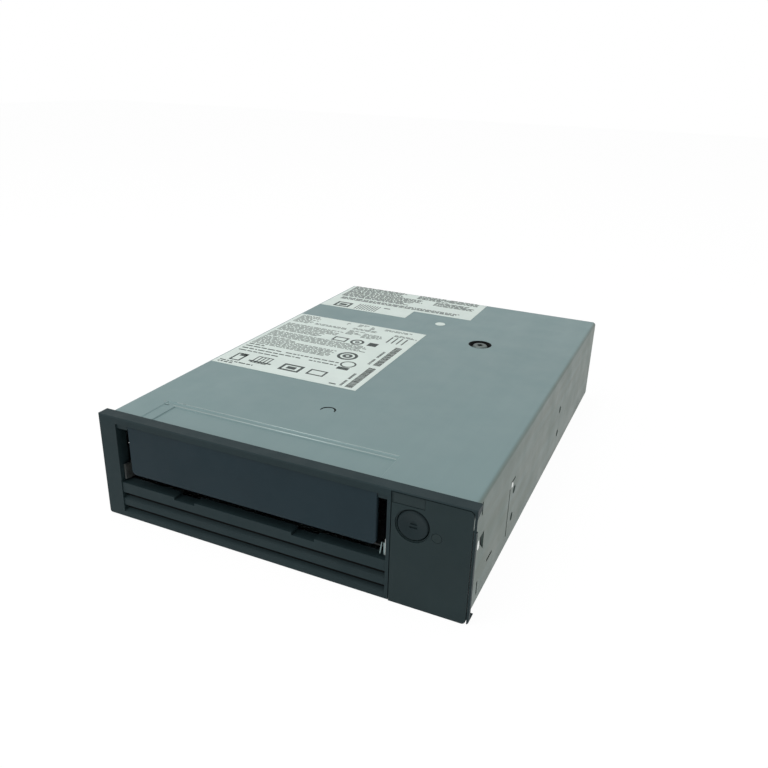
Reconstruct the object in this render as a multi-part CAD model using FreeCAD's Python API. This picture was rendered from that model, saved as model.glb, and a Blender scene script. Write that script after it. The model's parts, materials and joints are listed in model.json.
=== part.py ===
"""Half-height 5.25 inch data tape drive, built as separate pieces.

Millimetres. X runs to the right seen from the front, Y to the back, Z up. The sizes below are measured
from the back face of the bezel (y = 0), the underside of the chassis (z = 0) and the middle (x = 0).
Each piece is then moved so that the origin lies under the middle of the whole drive.
"""
import FreeCAD, Part
import math
import os

V = FreeCAD.Vector

# ---------------------------------------------------------------- housing
CHASSIS_W = 146.0
CHASSIS_H = 41.3
CHASSIS_D = 205.5
SHEET_T = 0.8                # top cover sheet
SHEET_BEND_R = 1.6           # outer radius of the cover's long bends
WALL_T = 2.5                 # cast side walls
WALL_BEVEL = 0.8
FLOOR_T = 1.2                # cast floor
FLOOR_SLOT_W = 2.6
FLOOR_SLOT_L = 22.0
FLOOR_SLOT_PITCH = 12.0
FLOOR_SLOTS_EACH_SIDE = 4
FLOOR_SLOT_ROWS = (30.0, 70.0, 140.0)
LEDGE_W = 2.0                # ledges that carry the deck
LEDGE_T = 1.6
LEDGE_FRONT = 12.0
LEDGE_REAR_GAP = 14.0
STANDOFF_W = 5.2
REAR_T = 1.0                 # rear panel sheet
REAR_CORNER_R = 1.0
VENT_W = 2.4
VENT_H = 16.0
VENT_Z = 18.0
VENT_PITCH = 8.0
VENTS_EACH_SIDE = 7
ASSEMBLY_GAP = 0.1           # play between fixed pieces slid together
RUN_FIT = 0.05               # radial play of a shaft in its bore
SINK = 0.2                   # how far a joined detail reaches into its carrier
CLEAR = 1.0                  # how far a cutting tool overshoots
TINY = 1e-6                  # lengths below this count as nothing

# ---------------------------------------------------------------- cover details
RECESS_OUTER = (-59.6, 39.2)         # shallow step of the stamped recess, left and right
RECESS_INNER = (-55.0, 38.4)         # deeper floor of the recess
RECESS_BACKS = (17.6, 15.2)
RECESS_DEPTHS = (0.3, 0.7)
RECESS_SLOPE = 0.45
WELL_R = 5.0
WELL_SLOPE = 0.6
WELL_DEPTH = 1.7
HALF_ROUND = (-0.7, 39.0)            # half-round lance in the cover
HALF_ROUND_R = 3.2
HALF_ROUND_W = 0.6
COVER_HOLE_R = 1.7                   # clearance round each side screw
COVER_LOWER_EDGE = 0.6
FRONT_SLOT = ((4.2, 5.3), (35.0, 39.9))      # slits and slots in the side, as (y, z) spans
LOWER_SLOT = ((5.4, 6.5), (3.6, 8.7))
FLAT_SLOT = ((15.8, 22.0), (9.9, 11.0))
SPRING_SLIT = ((40.6, 41.5), (4.8, 25.0))
SPRING_TOP = ((42.6, 47.6), (26.6, 27.4))
SLOT_BEHIND = 1.6                    # pocket in the cast wall behind a slot
TAB_LOW = 34.0                       # front tab of the cover's side
TAB_HIGH = 39.7
TAB_SLOPE = 1.4
TAB_ROOM = 0.5               # room over the tab in the bezel's flank
STRIP_LOW = 1.0
STRIP_STEP = 1.0
COVER_SCREW_R = 1.45
SCREW_HEAD_R = 3.7
SCREW_HEAD_SUNK = 0.3
SCREW_HEAD_BEVEL = 0.6
SCREW_SEAT_DEPTH = 0.9
DRIVE_R = (1.15, 1.75)               # inner and outer radius of the six-lobed drive
DRIVE_LOBES = 6

# ---------------------------------------------------------------- labels, lying on the cover
LABEL_T = 0.12
LABEL_LEFT = -71.2
MAIN_LABEL_RIGHT = 0.3
MAIN_LABEL_Y = (61.0, 141.2)
REAR_LABEL_RIGHT = 12.3
REAR_LABEL_STEP_X = -20.1
REAR_LABEL_FRONT = 43.7              # these three are measured forward from the cover's rear edge
REAR_LABEL_STEP_Y = 30.5
REAR_LABEL_BACK = 0.7
STICKER_X = 0.3
STICKER_FROM_REAR = 44.3
STICKER_R = 2.6

# ---------------------------------------------------------------- cartridge that the drive takes
CART_W = 105.4
CART_D = 102.0
CART_H = 21.5
CART_Z = 15.7                # underside of a cartridge as it is pushed in
CART_LOADED_Y = 6.0          # front of a loaded cartridge
LOAD_TRAVEL = 22.0
LOAD_DROP = 3.0

# ---------------------------------------------------------------- heights of the inner storeys
BOARD_Z = 3.2
BOARD_T = 1.6
DECK_Z = 8.5
DECK_T = 2.5
TAPE_Z = 23.9                # middle of the tape
TAPE_W = 12.7

# ---------------------------------------------------------------- bezel
BEZEL_W = 148.5
BEZEL_H = 43.0
BEZEL_T = 5.0
BEZEL_DROP = 0.85            # bezel's lower edge below the chassis
BEZEL_CORNER_R = 1.2
BEZEL_EDGE = 0.35
FLANK_LIP = 1.8              # full-width front lip of the bezel's flanks
FLANK_FOOT = 0.4
SILL_Z = 14.5
MOUTH_TOP = 39.4
MOUTH_LEFT_GAP = 2.7         # mouth's left edge to an inserted cartridge
MOUTH_RIGHT_GAP = 2.65
MOUTH_POST = 1.55            # post between the mouth and the control panel
LOUVRE_GROOVES = (9.9, 4.3)
LOUVRE_DEPTH = 2.8
LOUVRE_STEP = 0.35
LOUVRE_GROOVE_H = 0.9
LOUVRE_LEAD = 0.35
LOUVRE_SLOPE_H = 2.7
LOUVRE_MARGIN = 0.2
NOTCH_W = 9.1
NOTCH_DEPTH = 1.1
NOTCH_X = (-37.2, 13.0)
HOOK_Y = 9.0
HOOK_Z = (19.6, 26.8)
HOOK_T = 1.0
HOOK_ROOT = 0.5
HOOK_PLAY = 0.4               # hook to the edges of its window
WEDGE_L = 3.4
WEDGE_LAND = 0.6
SNAP_WINDOW_L = 4.6
SNAP_WINDOW_NOSE = 2.6

# ---------------------------------------------------------------- door
DOOR_LEFT_INSET = 2.6        # door's side edges inside a cartridge's sides
DOOR_RIGHT_INSET = 1.1
DOOR_T = 1.4
DOOR_FACE = 0.4              # door's face behind the bezel's face
DOOR_BOTTOM = 19.3
DOOR_CORNER_R = 2.0
DOOR_BEVEL = 0.25
DOOR_RIBS = (3.0, 8.5, 14.0)         # above the door's lower edge
DOOR_RIB_H = 0.8
DOOR_RIB_T = 0.5
DOOR_RIB_INSET = 6.0
HINGE_Z = 38.6
HINGE_BARREL_R = 1.0
HINGE_PIN_R = 0.5
HINGE_RELIEF = 0.3
HINGE_PIN_REACH = 5.5
HINGE_PIN_SINK = 0.6
HINGE_EAR_BACK = 1.6
HINGE_SIDE_GAP = 0.3

# ---------------------------------------------------------------- control panel
PANEL_T = 2.4
PANEL_SEAM = 0.3
PANEL_TOP = 41.4
PANEL_CORNER_R = 1.5
PANEL_RIGHT_RIM = 1.0
BUTTON_FROM_LEFT = 7.4       # button's middle from the panel's left edge
BUTTON_Z = 30.7
BUTTON_R = 5.35
BUTTON_TRAVEL = 1.0
BUTTON_GAP = 0.3
BUTTON_BORE_GAP = 0.3
BUTTON_RING_W = 0.45
BUTTON_RING_DEPTH = 0.5
BUTTON_EDGE = 0.35
BUTTON_SUNK = 0.1
BUTTON_DISH = (4.6, 1.6, 0.7)        # outer radius, inner radius and depth of the finger dish
MARK_W = 2.6
MARK_DEPTH = 0.35
COLLAR_W = 0.6
COLLAR_T = 0.8
LENS_FROM_LEFT = 15.7
LENS_Z = 28.6
LENS_R = 1.65
LENS_GAP = 0.12
LENS_COLLAR_W = 0.45
WINDOW_W = 10.8
WINDOW_H = 3.3
WINDOW_INSET = 0.35
WINDOW_GAP = 0.15
WINDOW_SUNK = 0.15
POST_W = 3.0                 # posts that carry the small board behind the panel
POST_ZS = (17.0, 37.0)
FRONT_BOARD_Y = 1.6
FRONT_BOARD_T = 1.2
FRONT_BOARD_Z = (14.0, 38.6)
FRONT_BOARD_SIDE_GAP = 0.3
HOOK_ROOM = (2.4, 5.0, 0.6)          # notch in that board for the bezel's hook: width, depth and margin
SWITCH_W = 6.0
SWITCH_FRONT = 0.2
PLUNGER_R = 1.5
LAMP_W = 3.2
LAMP_R = 1.1
LAMP_FRONT = -0.6
LAMP_BEVEL = 0.5

# ---------------------------------------------------------------- mounting holes of a half-height bay
MOUNT_Y = (47.4, 126.65)
SIDE_HOLE_Z = (10.0, 21.85)
BOTTOM_SPACING_X = 139.7
MOUNT_HOLE_R = 1.6
BOTTOM_HOLE_DEPTH = 6.0
BOSS_HALF = 4.5
BOSS_IN = 3.7
BOSS_TOP_GAP = 1.5
SCREW_ROOM_R = 3.4           # room round a mounting screw's end

# ---------------------------------------------------------------- rear connectors and boards
HOST_X = (-21.0, 21.0)
HOST_CAVITY = (37.6, 7.0, 9.5)       # width, height and depth
HOST_TONGUE_W = 31.0
HOST_TONGUE_Z = (5.3, 6.7)           # above the socket's underside
HOST_KEY_X = (4.0, 6.0)
HOST_KEY_TOP = 8.1
TONGUE_FRONT = 1.5
PORT_X = (33.0, 52.0)
PORT_CAVITY = (15.0, 5.4, 8.0)
SOCKET_TOP = 13.4
SOCKET_WALL = 0.9
SOCKET_GAP = 0.2
SOCKET_SUNK = 0.1
SOCKET_L = 15.4
BOARD_HALF_W = 65.4
BOARD_FRONT = 10.0
BOARD_REAR_GAP = 4.5
STANDOFF_X = 60.0
STANDOFF_FRONT = (20.0, 100.0)
STANDOFF_FROM_REAR = 20.5
CHIPS = ((-42.0, 96.0, 24.0, 24.0, 1.6), (40.0, 78.0, 17.0, 17.0, 1.5), (42.0, 104.0, 14.0, 20.0, 1.2),
         (-52.0, 60.0, 12.0, 18.0, 1.2), (-52.0, 36.0, 10.0, 10.0, 1.4), (44.0, 32.0, 12.0, 8.0, 1.4))
REAR_CHIPS = ((-50.0, 55.5, 10.0, 14.0, 1.4), (48.0, 25.5, 12.0, 10.0, 1.8))     # from the rear edge
CAPACITOR_XS = (-30.0, -38.0, -46.0, 27.0)
CAPACITOR_FROM_REAR = 11.0
CAPACITOR_R = 2.5
CAPACITOR_H = 6.0
FIN_COUNT = 7
FIN_HALF = 0.4
HEATSINK_BASE = 0.8
HEATSINK_GAP = 0.4
READER_X = (12.0, 32.0)              # from the cartridge's left side
READER_FROM_CART_END = (20.0, 3.0)
READER_T = 0.8
COIL_HALF = 6.5
COIL_W = 1.5
COIL_T = 0.4
SENSOR_FROM_LEFT = 7.0
SENSOR_BEHIND_CART = 8.0
SENSOR_HALF = (3.0, 4.0)
SENSOR_H = 7.0
SENSOR_SLOT_HALF = 1.2
SENSOR_SLOT_UP = 2.0
DECK_FRONT = 4.0
DECK_REAR_GAP = 2.0
CABLE_SLOT_W = 3.4           # slots in the deck for flat cables
CABLE_SLOT_L = 16.0
CABLE_SLOTS = ((-52.0, 122.0), (-52.0, 20.0), (28.0, 20.0), (28.0, 92.0))

# ---------------------------------------------------------------- loader, from the left wall inwards
RAIL_T = 1.4
RAIL_GAP = 0.5               # rail to slider plate
SLIDER_T = 1.2
TRAY_GAP = 1.6               # slider plate to tray
TRAY_T = 0.8
CART_SIDE_GAP = 0.6
GUIDE_PIN_R = 1.3
PIN_Z = 24.0
LEFT_PINS_Y = (24.0, 70.0)
RIGHT_PINS_Y = (24.0, 54.0)
PIN_END_GAP = 0.2
PIN_RIGHT_END = 0.6
RAIL_FRONT = 10.0
RAIL_LEFT_BACK = 98.0
RAIL_RIGHT_BACK = 86.0
RAIL_LEFT_TOP = 37.0
RAIL_RIGHT_TOP = 30.4
RAIL_HOLE_R = 2.8
RAIL_CORNER_H = 3.0          # notch over the mounting screw's end
RAIL_FOOT_YS = (12.0, 70.0)
RAIL_FOOT_L = 9.0
RAIL_FOOT_W = 5.0
RAIL_FOOT_T = 1.2
SLIDER_LEFT_Y = (12.0, 88.0)
SLIDER_LEFT_TOP = 37.0
SLIDER_LEFT_REAR_TOP = 33.0
SLIDER_LEFT_BEVELS = (8.0, 7.0)
SLIDER_RIGHT_Y = (8.0, 62.0)
SLIDER_RIGHT_REAR_TOP = 30.0
SLIDER_RIGHT_FRONT_TOP = 34.0
SLIDER_WINDOW_LEFT = (34.0, 60.0)
SLIDER_WINDOW_RIGHT = (30.0, 47.0)
SLIDER_WINDOW_Z = (16.0, 31.0)
SLIDER_WINDOW_BEVEL = 3.0
RACK_Z = (36.2, 37.8)
RACK_Y = (10.0, 46.0)
RACK_RAMP = (2.0, 4.0)
RACK_FROM_SLIDER = 5.2       # rack's pitch line from the slider's inner face
TRAY_TOP_GAP = 0.5
TRAY_ROOF_Y = 20.0
TRAY_FRONT_Y = 1.5
TRAY_FRONT_TOP = 31.0
TRAY_RIGHT_WALL_END = 62.0
TRAY_RIGHT_WALL_LOW = 30.0
TRAY_RIGHT_WALL_RAMP = 8.0
TRAY_LEDGE = 8.0
TRAY_WINDOW_DX = (-32.0, 0.0, 32.0)
TRAY_WINDOW_HALF = 12.0
TRAY_WINDOW_Y = (32.0, 72.0)
TRAY_WINDOW_BEVEL = 4.0
TRAY_STOPS_DX = (-36.0, 30.0)
TRAY_STOP_HALF = 9.0
TRAY_STOP_LOW = 27.0
LIP_L = 4.8                  # flared front corners of the tray
LIP_FLARE = 1.1
LIP_RAISE = 0.5
LIP_TOP = 6.0

# ---------------------------------------------------------------- gears and motors
TOOTH_SHARE = 0.44           # a tooth's share of the pitch, the rest is space and backlash
ADDENDUM = 0.8
DEDENDUM = 1.05
TOOTH_TAPER = 0.36           # flank slope, close to a 20 degree pressure angle
RACK_MODULE = 1.0
RACK_TEETH_ON_GEAR = 12
DRIVE_MODULE = 0.6
LOAD_WHEEL_TEETH = 30
PINION_TEETH = 12
LOAD_GEAR_Y = 40.0
LOAD_WHEEL_Z = (31.2, 33.8)
LOAD_PINION_Z = (35.4, 38.4)
LOAD_HUB_R = 4.2
GEAR_POST_R = 2.0
GEAR_POST_FOOT_R = 3.6
GEAR_POST_TOP = 39.6
SHOULDER_GAP = 0.1           # wheel above its shoulder
MOTOR_ANGLE = 70.0           # load motor's bearing round the load gear, degrees
LOAD_MOTOR_R = 8.0
LOAD_MOTOR_TOP = 30.2
MOTOR_SHAFT_R = 0.9
MOTOR_SHAFT_DEPTH = 3.0
MOTOR_BEVEL = 0.8
PINION_RISE = 0.6
PINION_OVERLAP = 0.2
CLIP_T = 0.6
CLIP_W = 1.4                 # clip beyond its pin all round
CLIP_GAP = 0.1

# ---------------------------------------------------------------- reels
SUPPLY_R = 16.0
SUPPLY_MOTOR_R = 23.0
SUPPLY_SHAFT_R = 2.5
HUB_GAP = 0.4
HUB_PLATE_TOP = 13.4
CLUTCH_TOP = 14.9
CLUTCH_TEETH = 24
CLUTCH_IN_R = 10.5
CLUTCH_EDGE = 0.6
CLUTCH_HALF = (0.75, 0.35)           # half width of a face tooth at its root and tip
NOSE_R = (4.2, 5.2)
REEL_HUB_R = 20.0
REEL_GAP = 2.5               # reel to a loaded cartridge
REEL_REAR_GAP = 4.0          # reel to the rear panel
REEL_OFFSET_X = 0.9
FLANGE_T = 0.8
FLANGE_SET = 0.15
ROTOR_RIM = 2.0
ROTOR_Z = 15.0
HUB_SEAT_R = 12.0
HUB_SPIGOT_R = 8.0
HUB_SLOT_HALF = 4.0
HUB_SLOT_IN = 7.0
FLANGE_SLOT_HALF = 2.2
FLANGE_WINDOW_R = 5.0
FLANGE_WINDOW_AT = 33.0
FLANGE_WINDOWS = 3
TAKEUP_MOTOR_R = 25.0
TAKEUP_MOTOR_TOP = 14.6
TAKEUP_SHAFT_R = 3.0
TAKEUP_SHAFT_UP = 0.6
MOTOR_FLANGE_W = 2.6
MOTOR_FLANGE_T = 0.9
MOTOR_FLANGE_BEVEL = 9.0
MOTOR_BOARD_GAP = 0.8
MOTOR_HOLE_GAP = 0.3

# ---------------------------------------------------------------- tape path, from the reel's edge and axis
ROLLERS_FROM_REEL = ((6.8, -38.6), (16.5, -30.0), (16.5, -0.5), (7.0, 8.5))
ROLLER_R = 5.0
ROLLER_RIM_R = 6.0
ROLLER_RIM_T = 0.6
ROLLER_PIN_R = 1.5
ROLLER_FOOT_R = 3.4          # across the corners of the hexagonal pillar
PILLAR_SIDES = 6
ROLLER_PIN_UP = 2.5
HEAD_FROM_REEL = (13.4, -15.3)       # back of the head's bracket and its middle
HEAD_DEPTH = 9.2
HEAD_HALF = 8.2
HEAD_TOP = 36.4
BRACKET_T = 0.8
BRIDGE_T = 1.2
BRIDGE_INSET = 1.0
SCREW_R = 1.5
SCREW_IN = 4.4
SCREW_OUT = 4.2
SCREW_FOOT = 2.2
SCREW_ROOM = 0.6
SCREW_END_GAP = 0.2
CARRIAGE_HALF_Z = 6.2
CARRIAGE_BACK = 1.4
CARRIAGE_SIDE = 0.6
CARRIAGE_BEVEL = 1.0
HEAD_BLOCK_T = 2.0
HEAD_PLATE_T = 0.8
HEAD_PLATE_HALF = 6.0
HEAD_MODULES = (0.8, 5.0)            # inner and outer edge of a head module from the middle
HEAD_BEVEL = 0.6
HEAD_INSET_Z = 0.3
CHANNEL_HALF = 1.8
CHANNEL_DEPTH = 1.4
STEPPER_R = 5.5

# ---------------------------------------------------------------- threading arm, hung under the cover
PIVOT_FROM_REEL = (-6.5, -14.5)
ARM_START_FROM_REEL = (10.5, -48.0)
ARM_BELOW_COVER = 3.5
ARM_T = 1.2
ARM_EYE_R = 6.5
ARM_HALF = (5.5, 2.4)
ARM_SLOT = (12.0, 30.0)
ARM_SLOT_HALF = (2.6, 1.2)
STUD_R = 2.5
STUD_CAP_R = 5.0
STUD_CAP_GAP = 0.15
STUD_BELOW_ARM = 3.0
STUD_TAP_FLOOR = 1.5
THREAD_WHEEL_BELOW_ARM = (2.0, 0.4)
THREAD_BOSS_R = 6.0
THREAD_WHEEL_TEETH = 40
THREAD_MOTOR_ANGLE = -29.0
THREAD_MOTOR_R = 6.0
THREAD_MOTOR_BELOW_ARM = 3.0
LEADER_R = 3.0
LEADER_STEM_R = 1.6
LEADER_RIVET_R = 1.2
LEADER_HOOK_HALF = 1.0
LEADER_HOOK_MARGIN = 2.5
LEADER_HOOK_DEPTH = 4.0
LEADER_LIFT = 0.2

# ---------------------------------------------------------------- places worked out from the sizes
HALF_W = CHASSIS_W / 2
WALL_OUT = HALF_W - SHEET_T
WALL_IN = WALL_OUT - WALL_T
COVER_UNDER = CHASSIS_H - SHEET_T
WALL_TOP = COVER_UNDER - ASSEMBLY_GAP
REAR_IN = CHASSIS_D - REAR_T
CONNECTOR_FRONT = CHASSIS_D - SOCKET_SUNK - SOCKET_L
BEZEL_HALF = BEZEL_W / 2
BEZEL_TOP = BEZEL_H - BEZEL_DROP
FRONT_CUT = -BEZEL_T - CLEAR         # where a tool that cuts into the front face starts
DECK_TOP = DECK_Z + DECK_T
BOARD_TOP = BOARD_Z + BOARD_T

CART_LEFT = -WALL_IN + RAIL_T + RAIL_GAP + SLIDER_T + TRAY_GAP + TRAY_T + CART_SIDE_GAP
CART_RIGHT = CART_LEFT + CART_W
BAY_X = (CART_LEFT + CART_RIGHT) / 2
CART_TOP = CART_Z + CART_H
CART_END = CART_LOADED_Y + CART_D
SUPPLY_Y = CART_LOADED_Y + CART_D / 2
TRAY_STOP_Y = CART_END - LOAD_TRAVEL
TRAY_LEFT = CART_LEFT - CART_SIDE_GAP
TRAY_RIGHT = CART_RIGHT + CART_SIDE_GAP
TRAY_BOTTOM = CART_Z - TRAY_T
TRAY_TOP = CART_TOP + TRAY_TOP_GAP
SLIDER_L = (TRAY_LEFT - TRAY_T - TRAY_GAP - SLIDER_T, TRAY_LEFT - TRAY_T - TRAY_GAP)
SLIDER_R = (TRAY_RIGHT + TRAY_T + TRAY_GAP, TRAY_RIGHT + TRAY_T + TRAY_GAP + SLIDER_T)
SLIDER_BOTTOM = DECK_TOP + ASSEMBLY_GAP
RAIL_L = (-WALL_IN, -WALL_IN + RAIL_T)
RAIL_R = (SLIDER_R[1] + RAIL_GAP, SLIDER_R[1] + RAIL_GAP + RAIL_T)

MOUTH_LEFT = CART_LEFT - MOUTH_LEFT_GAP
MOUTH_RIGHT = CART_RIGHT + MOUTH_RIGHT_GAP
DOOR_LEFT = CART_LEFT + DOOR_LEFT_INSET
DOOR_RIGHT = CART_RIGHT - DOOR_RIGHT_INSET
DOOR_FRONT = -BEZEL_T + DOOR_FACE
DOOR_BACK = DOOR_FRONT + DOOR_T
HINGE_Y = DOOR_FRONT + HINGE_BARREL_R
PANEL_LEFT = MOUTH_RIGHT + MOUTH_POST
PANEL_RIGHT = BEZEL_HALF - PANEL_RIGHT_RIM
PANEL_BACK = -BEZEL_T + PANEL_T
BUTTON_X = PANEL_LEFT + BUTTON_FROM_LEFT
LENS_X = PANEL_LEFT + LENS_FROM_LEFT
COLLAR_Y = (PANEL_BACK + BUTTON_GAP, PANEL_BACK + BUTTON_GAP + COLLAR_T)
FLANK_Y = -BEZEL_T + FLANK_LIP
WINDOW_X = (PANEL_LEFT + WINDOW_INSET, PANEL_LEFT + WINDOW_INSET + WINDOW_W)
WINDOW_Z = (PANEL_TOP - WINDOW_INSET - WINDOW_H, PANEL_TOP - WINDOW_INSET)
SOCKET_Z = (BOARD_TOP, SOCKET_TOP)
STANDOFF_YS = STANDOFF_FRONT + (CHASSIS_D - STANDOFF_FROM_REAR,)

RACK_R = RACK_MODULE * RACK_TEETH_ON_GEAR / 2
RACK_LINE_X = SLIDER_R[0] + RACK_FROM_SLIDER
LOAD_GEAR_X = RACK_LINE_X + RACK_R
LOAD_WHEEL_R = DRIVE_MODULE * LOAD_WHEEL_TEETH / 2
PINION_R = DRIVE_MODULE * PINION_TEETH / 2
THREAD_WHEEL_R = DRIVE_MODULE * THREAD_WHEEL_TEETH / 2

HUB_BOTTOM = DECK_TOP + HUB_GAP
REEL_LOW = TAPE_Z - TAPE_W / 2 - FLANGE_T + FLANGE_SET
REEL_TOP = TAPE_Z + TAPE_W / 2 + FLANGE_T - FLANGE_SET
REEL_R = (REAR_IN - REEL_REAR_GAP - CART_END - REEL_GAP) / 2
TAKEUP_X = BAY_X + REEL_OFFSET_X
TAKEUP_Y = REAR_IN - REEL_REAR_GAP - REEL_R


def from_reel(offset):
    """Place given by its distances from the take-up reel's right edge and axis."""
    return TAKEUP_X + REEL_R + offset[0], TAKEUP_Y + offset[1]


def around(x, y, radius, degrees):
    """Point at a radius and bearing from (x, y)."""
    a = math.radians(degrees)
    return x + radius * math.cos(a), y + radius * math.sin(a)


ROLLERS = [from_reel(offset) for offset in ROLLERS_FROM_REEL]
HEAD_BACK_X, HEAD_Y = from_reel(HEAD_FROM_REEL)
HEAD_FACE_X = HEAD_BACK_X + HEAD_DEPTH
LEAD_SCREW_XY = (HEAD_BACK_X + SCREW_IN, HEAD_Y - SCREW_OUT)
GUIDE_ROD_XY = (HEAD_BACK_X + SCREW_IN, HEAD_Y + SCREW_OUT)
PIVOT_X, PIVOT_Y = from_reel(PIVOT_FROM_REEL)
ARM_START = from_reel(ARM_START_FROM_REEL)
ARM_Z = COVER_UNDER - ARM_BELOW_COVER
ARM_TOP = ARM_Z + ARM_T
ARM_ANGLE = math.degrees(math.atan2(ARM_START[1] - PIVOT_Y, ARM_START[0] - PIVOT_X))
ARM_R = math.hypot(ARM_START[0] - PIVOT_X, ARM_START[1] - PIVOT_Y)
WELL_FLOOR = CHASSIS_H - WELL_DEPTH
STUD_Z = (ARM_Z - STUD_BELOW_ARM, WELL_FLOOR - SHEET_T)
THREAD_WHEEL_Z = (ARM_Z - THREAD_WHEEL_BELOW_ARM[0], ARM_Z - THREAD_WHEEL_BELOW_ARM[1])
THREAD_MOTOR_TOP = ARM_Z - THREAD_MOTOR_BELOW_ARM
LOAD_MOTOR_XY = around(LOAD_GEAR_X, LOAD_GEAR_Y, LOAD_WHEEL_R + PINION_R, MOTOR_ANGLE)
THREAD_MOTOR_XY = around(PIVOT_X, PIVOT_Y, THREAD_WHEEL_R + PINION_R, THREAD_MOTOR_ANGLE)

TO_ORIGIN = V(0, -(CHASSIS_D - BEZEL_T) / 2, BEZEL_DROP)


# ---------------------------------------------------------------- shape helpers
def box(x, y, z):
    """Block between pairs of low and high values."""
    return Part.makeBox(x[1] - x[0], y[1] - y[0], z[1] - z[0], V(x[0], y[0], z[0]))


def block(x, y, z, half_x, half_y=None):
    """Upright block round (x, y)."""
    half_y = half_x if half_y is None else half_y
    return box((x - half_x, x + half_x), (y - half_y, y + half_y), z)


def rod_x(r, y, z, x):
    return Part.makeCylinder(r, x[1] - x[0], V(x[0], y, z), V(1, 0, 0))


def rod_y(r, x, z, y):
    return Part.makeCylinder(r, y[1] - y[0], V(x, y[0], z), V(0, 1, 0))


def rod_z(r, x, y, z):
    return Part.makeCylinder(r, z[1] - z[0], V(x, y, z[0]))


def ring_z(outer, inner, x, y, z):
    return rod_z(outer, x, y, z).cut(rod_z(inner, x, y, z))


def cone_z(r_top, r_bottom, x, y, z):
    return Part.makeCone(r_bottom, r_top, z[1] - z[0], V(x, y, z[0]))


def prism(axis, points, span):
    """Flat outline pushed along an axis. Its points are (y, z), (x, z) or (x, y)."""
    place = {"x": lambda a, b: V(span[0], a, b),
             "y": lambda a, b: V(a, span[0], b),
             "z": lambda a, b: V(a, b, span[0])}[axis]
    way = {"x": V(1, 0, 0), "y": V(0, 1, 0), "z": V(0, 0, 1)}[axis]
    corners = [place(a, b) for a, b in points]
    face = Part.Face(Part.makePolygon(corners + corners[:1]))
    return face.extrude(way * (span[1] - span[0]))


def star(x, y, radii, count, first=0.0):
    """Outline whose corners lie in turn on each of the radii."""
    steps = count * len(radii)
    return [around(x, y, radii[k % len(radii)], first + 360.0 * k / steps) for k in range(steps)]


def bevelled_outline(a, b, bevel):
    """Rectangle between pairs of low and high values, with bevelled corners."""
    return [(a[0], b[0] + bevel), (a[0] + bevel, b[0]), (a[1] - bevel, b[0]), (a[1], b[0] + bevel),
            (a[1], b[1] - bevel), (a[1] - bevel, b[1]), (a[0] + bevel, b[1]), (a[0], b[1] - bevel)]


def join(*solids):
    if len(solids) == 1:
        return solids[0]
    return solids[0].multiFuse(list(solids[1:])).removeSplitter()


def cut(solid, *tools):
    return solid.cut(Part.makeCompound(list(tools)))


def edges_where(solid, test):
    return [e for e in solid.Edges if test(e)]


def along(edge, axis):
    """True for a straight edge along X, Y or Z."""
    if len(edge.Vertexes) != 2:
        return False
    d = edge.Vertexes[1].Point - edge.Vertexes[0].Point
    index = "xyz".index(axis)
    return abs(abs(d[index]) - d.Length) < TINY


def rounded(solid, axis, r, test=lambda e: True):
    """Fillets a block's edges that run along an axis."""
    return solid.makeFillet(r, edges_where(solid, lambda e: along(e, axis) and test(e)))


def bevelled(solid, size, test):
    return solid.makeChamfer(size, edges_where(solid, test))


def beside(side, near, far):
    """Span in X between two distances from the middle, on the left (-1) or the right (1)."""
    return tuple(sorted((side * near, side * far)))


def capsule_x(r, start, end, x):
    """Slot-shaped prism along X between two (y, z) centres."""
    dy, dz = end[0] - start[0], end[1] - start[1]
    length = math.hypot(dy, dz)
    ny, nz = -dz / length * r, dy / length * r
    strip = prism("x", [(start[0] + ny, start[1] + nz), (end[0] + ny, end[1] + nz),
                        (end[0] - ny, end[1] - nz), (start[0] - ny, start[1] - nz)], x)
    return join(strip, rod_x(r, start[0], start[1], x), rod_x(r, end[0], end[1], x))


def gear(module, teeth, z, x, y, first_tooth=0.0):
    """Spur gear with straight-flanked teeth; one tooth points at the bearing first_tooth."""
    pitch_r = module * teeth / 2
    root_r = pitch_r - DEDENDUM * module
    tip_r = pitch_r + ADDENDUM * module
    half = TOOTH_SHARE * math.pi * module / 2
    half_root = half + TOOTH_TAPER * DEDENDUM * module
    half_tip = half - TOOTH_TAPER * ADDENDUM * module
    flank = ((root_r, -half_root), (tip_r, -half_tip), (tip_r, half_tip), (root_r, half_root))
    outline = []
    for k in range(teeth):
        middle = first_tooth + 360.0 * k / teeth
        outline += [around(x, y, radius, middle + math.degrees(offset / radius)) for radius, offset in flank]
    return prism("z", outline, z)


def meshing_bearing(teeth, other_teeth, other_first, bearing):
    """First-tooth bearing for a gear that meshes with another one lying at a bearing from it."""
    pitch_other = 360.0 / other_teeth
    phase = ((bearing + 180.0 - other_first) / pitch_other) % 1.0
    return bearing + (phase + 0.5) * 360.0 / teeth


def save(node, solid):
    moved = solid.copy()
    moved.translate(TO_ORIGIN)
    moved.exportStep("parts/" + node + ".step")


# ---------------------------------------------------------------- bezel

def flank_notch(side):
    """Room in a bezel flank for the cover's front tab, with a sloping upper edge."""
    front = -BEZEL_T + BEZEL_EDGE
    high = TAB_HIGH + TAB_ROOM
    outline = [(front, TAB_LOW - ASSEMBLY_GAP), (ASSEMBLY_GAP, TAB_LOW - ASSEMBLY_GAP), (ASSEMBLY_GAP, high),
               (front, high - TAB_SLOPE)]
    return prism("x", outline, beside(side, WALL_OUT - ASSEMBLY_GAP, BEZEL_HALF + CLEAR))


def flank_room(side, low):
    """Room behind a flank's front lip for the cover's side."""
    return box(beside(side, WALL_OUT - ASSEMBLY_GAP, BEZEL_HALF + CLEAR), (FLANK_Y, CLEAR), (low, TAB_LOW))


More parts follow.
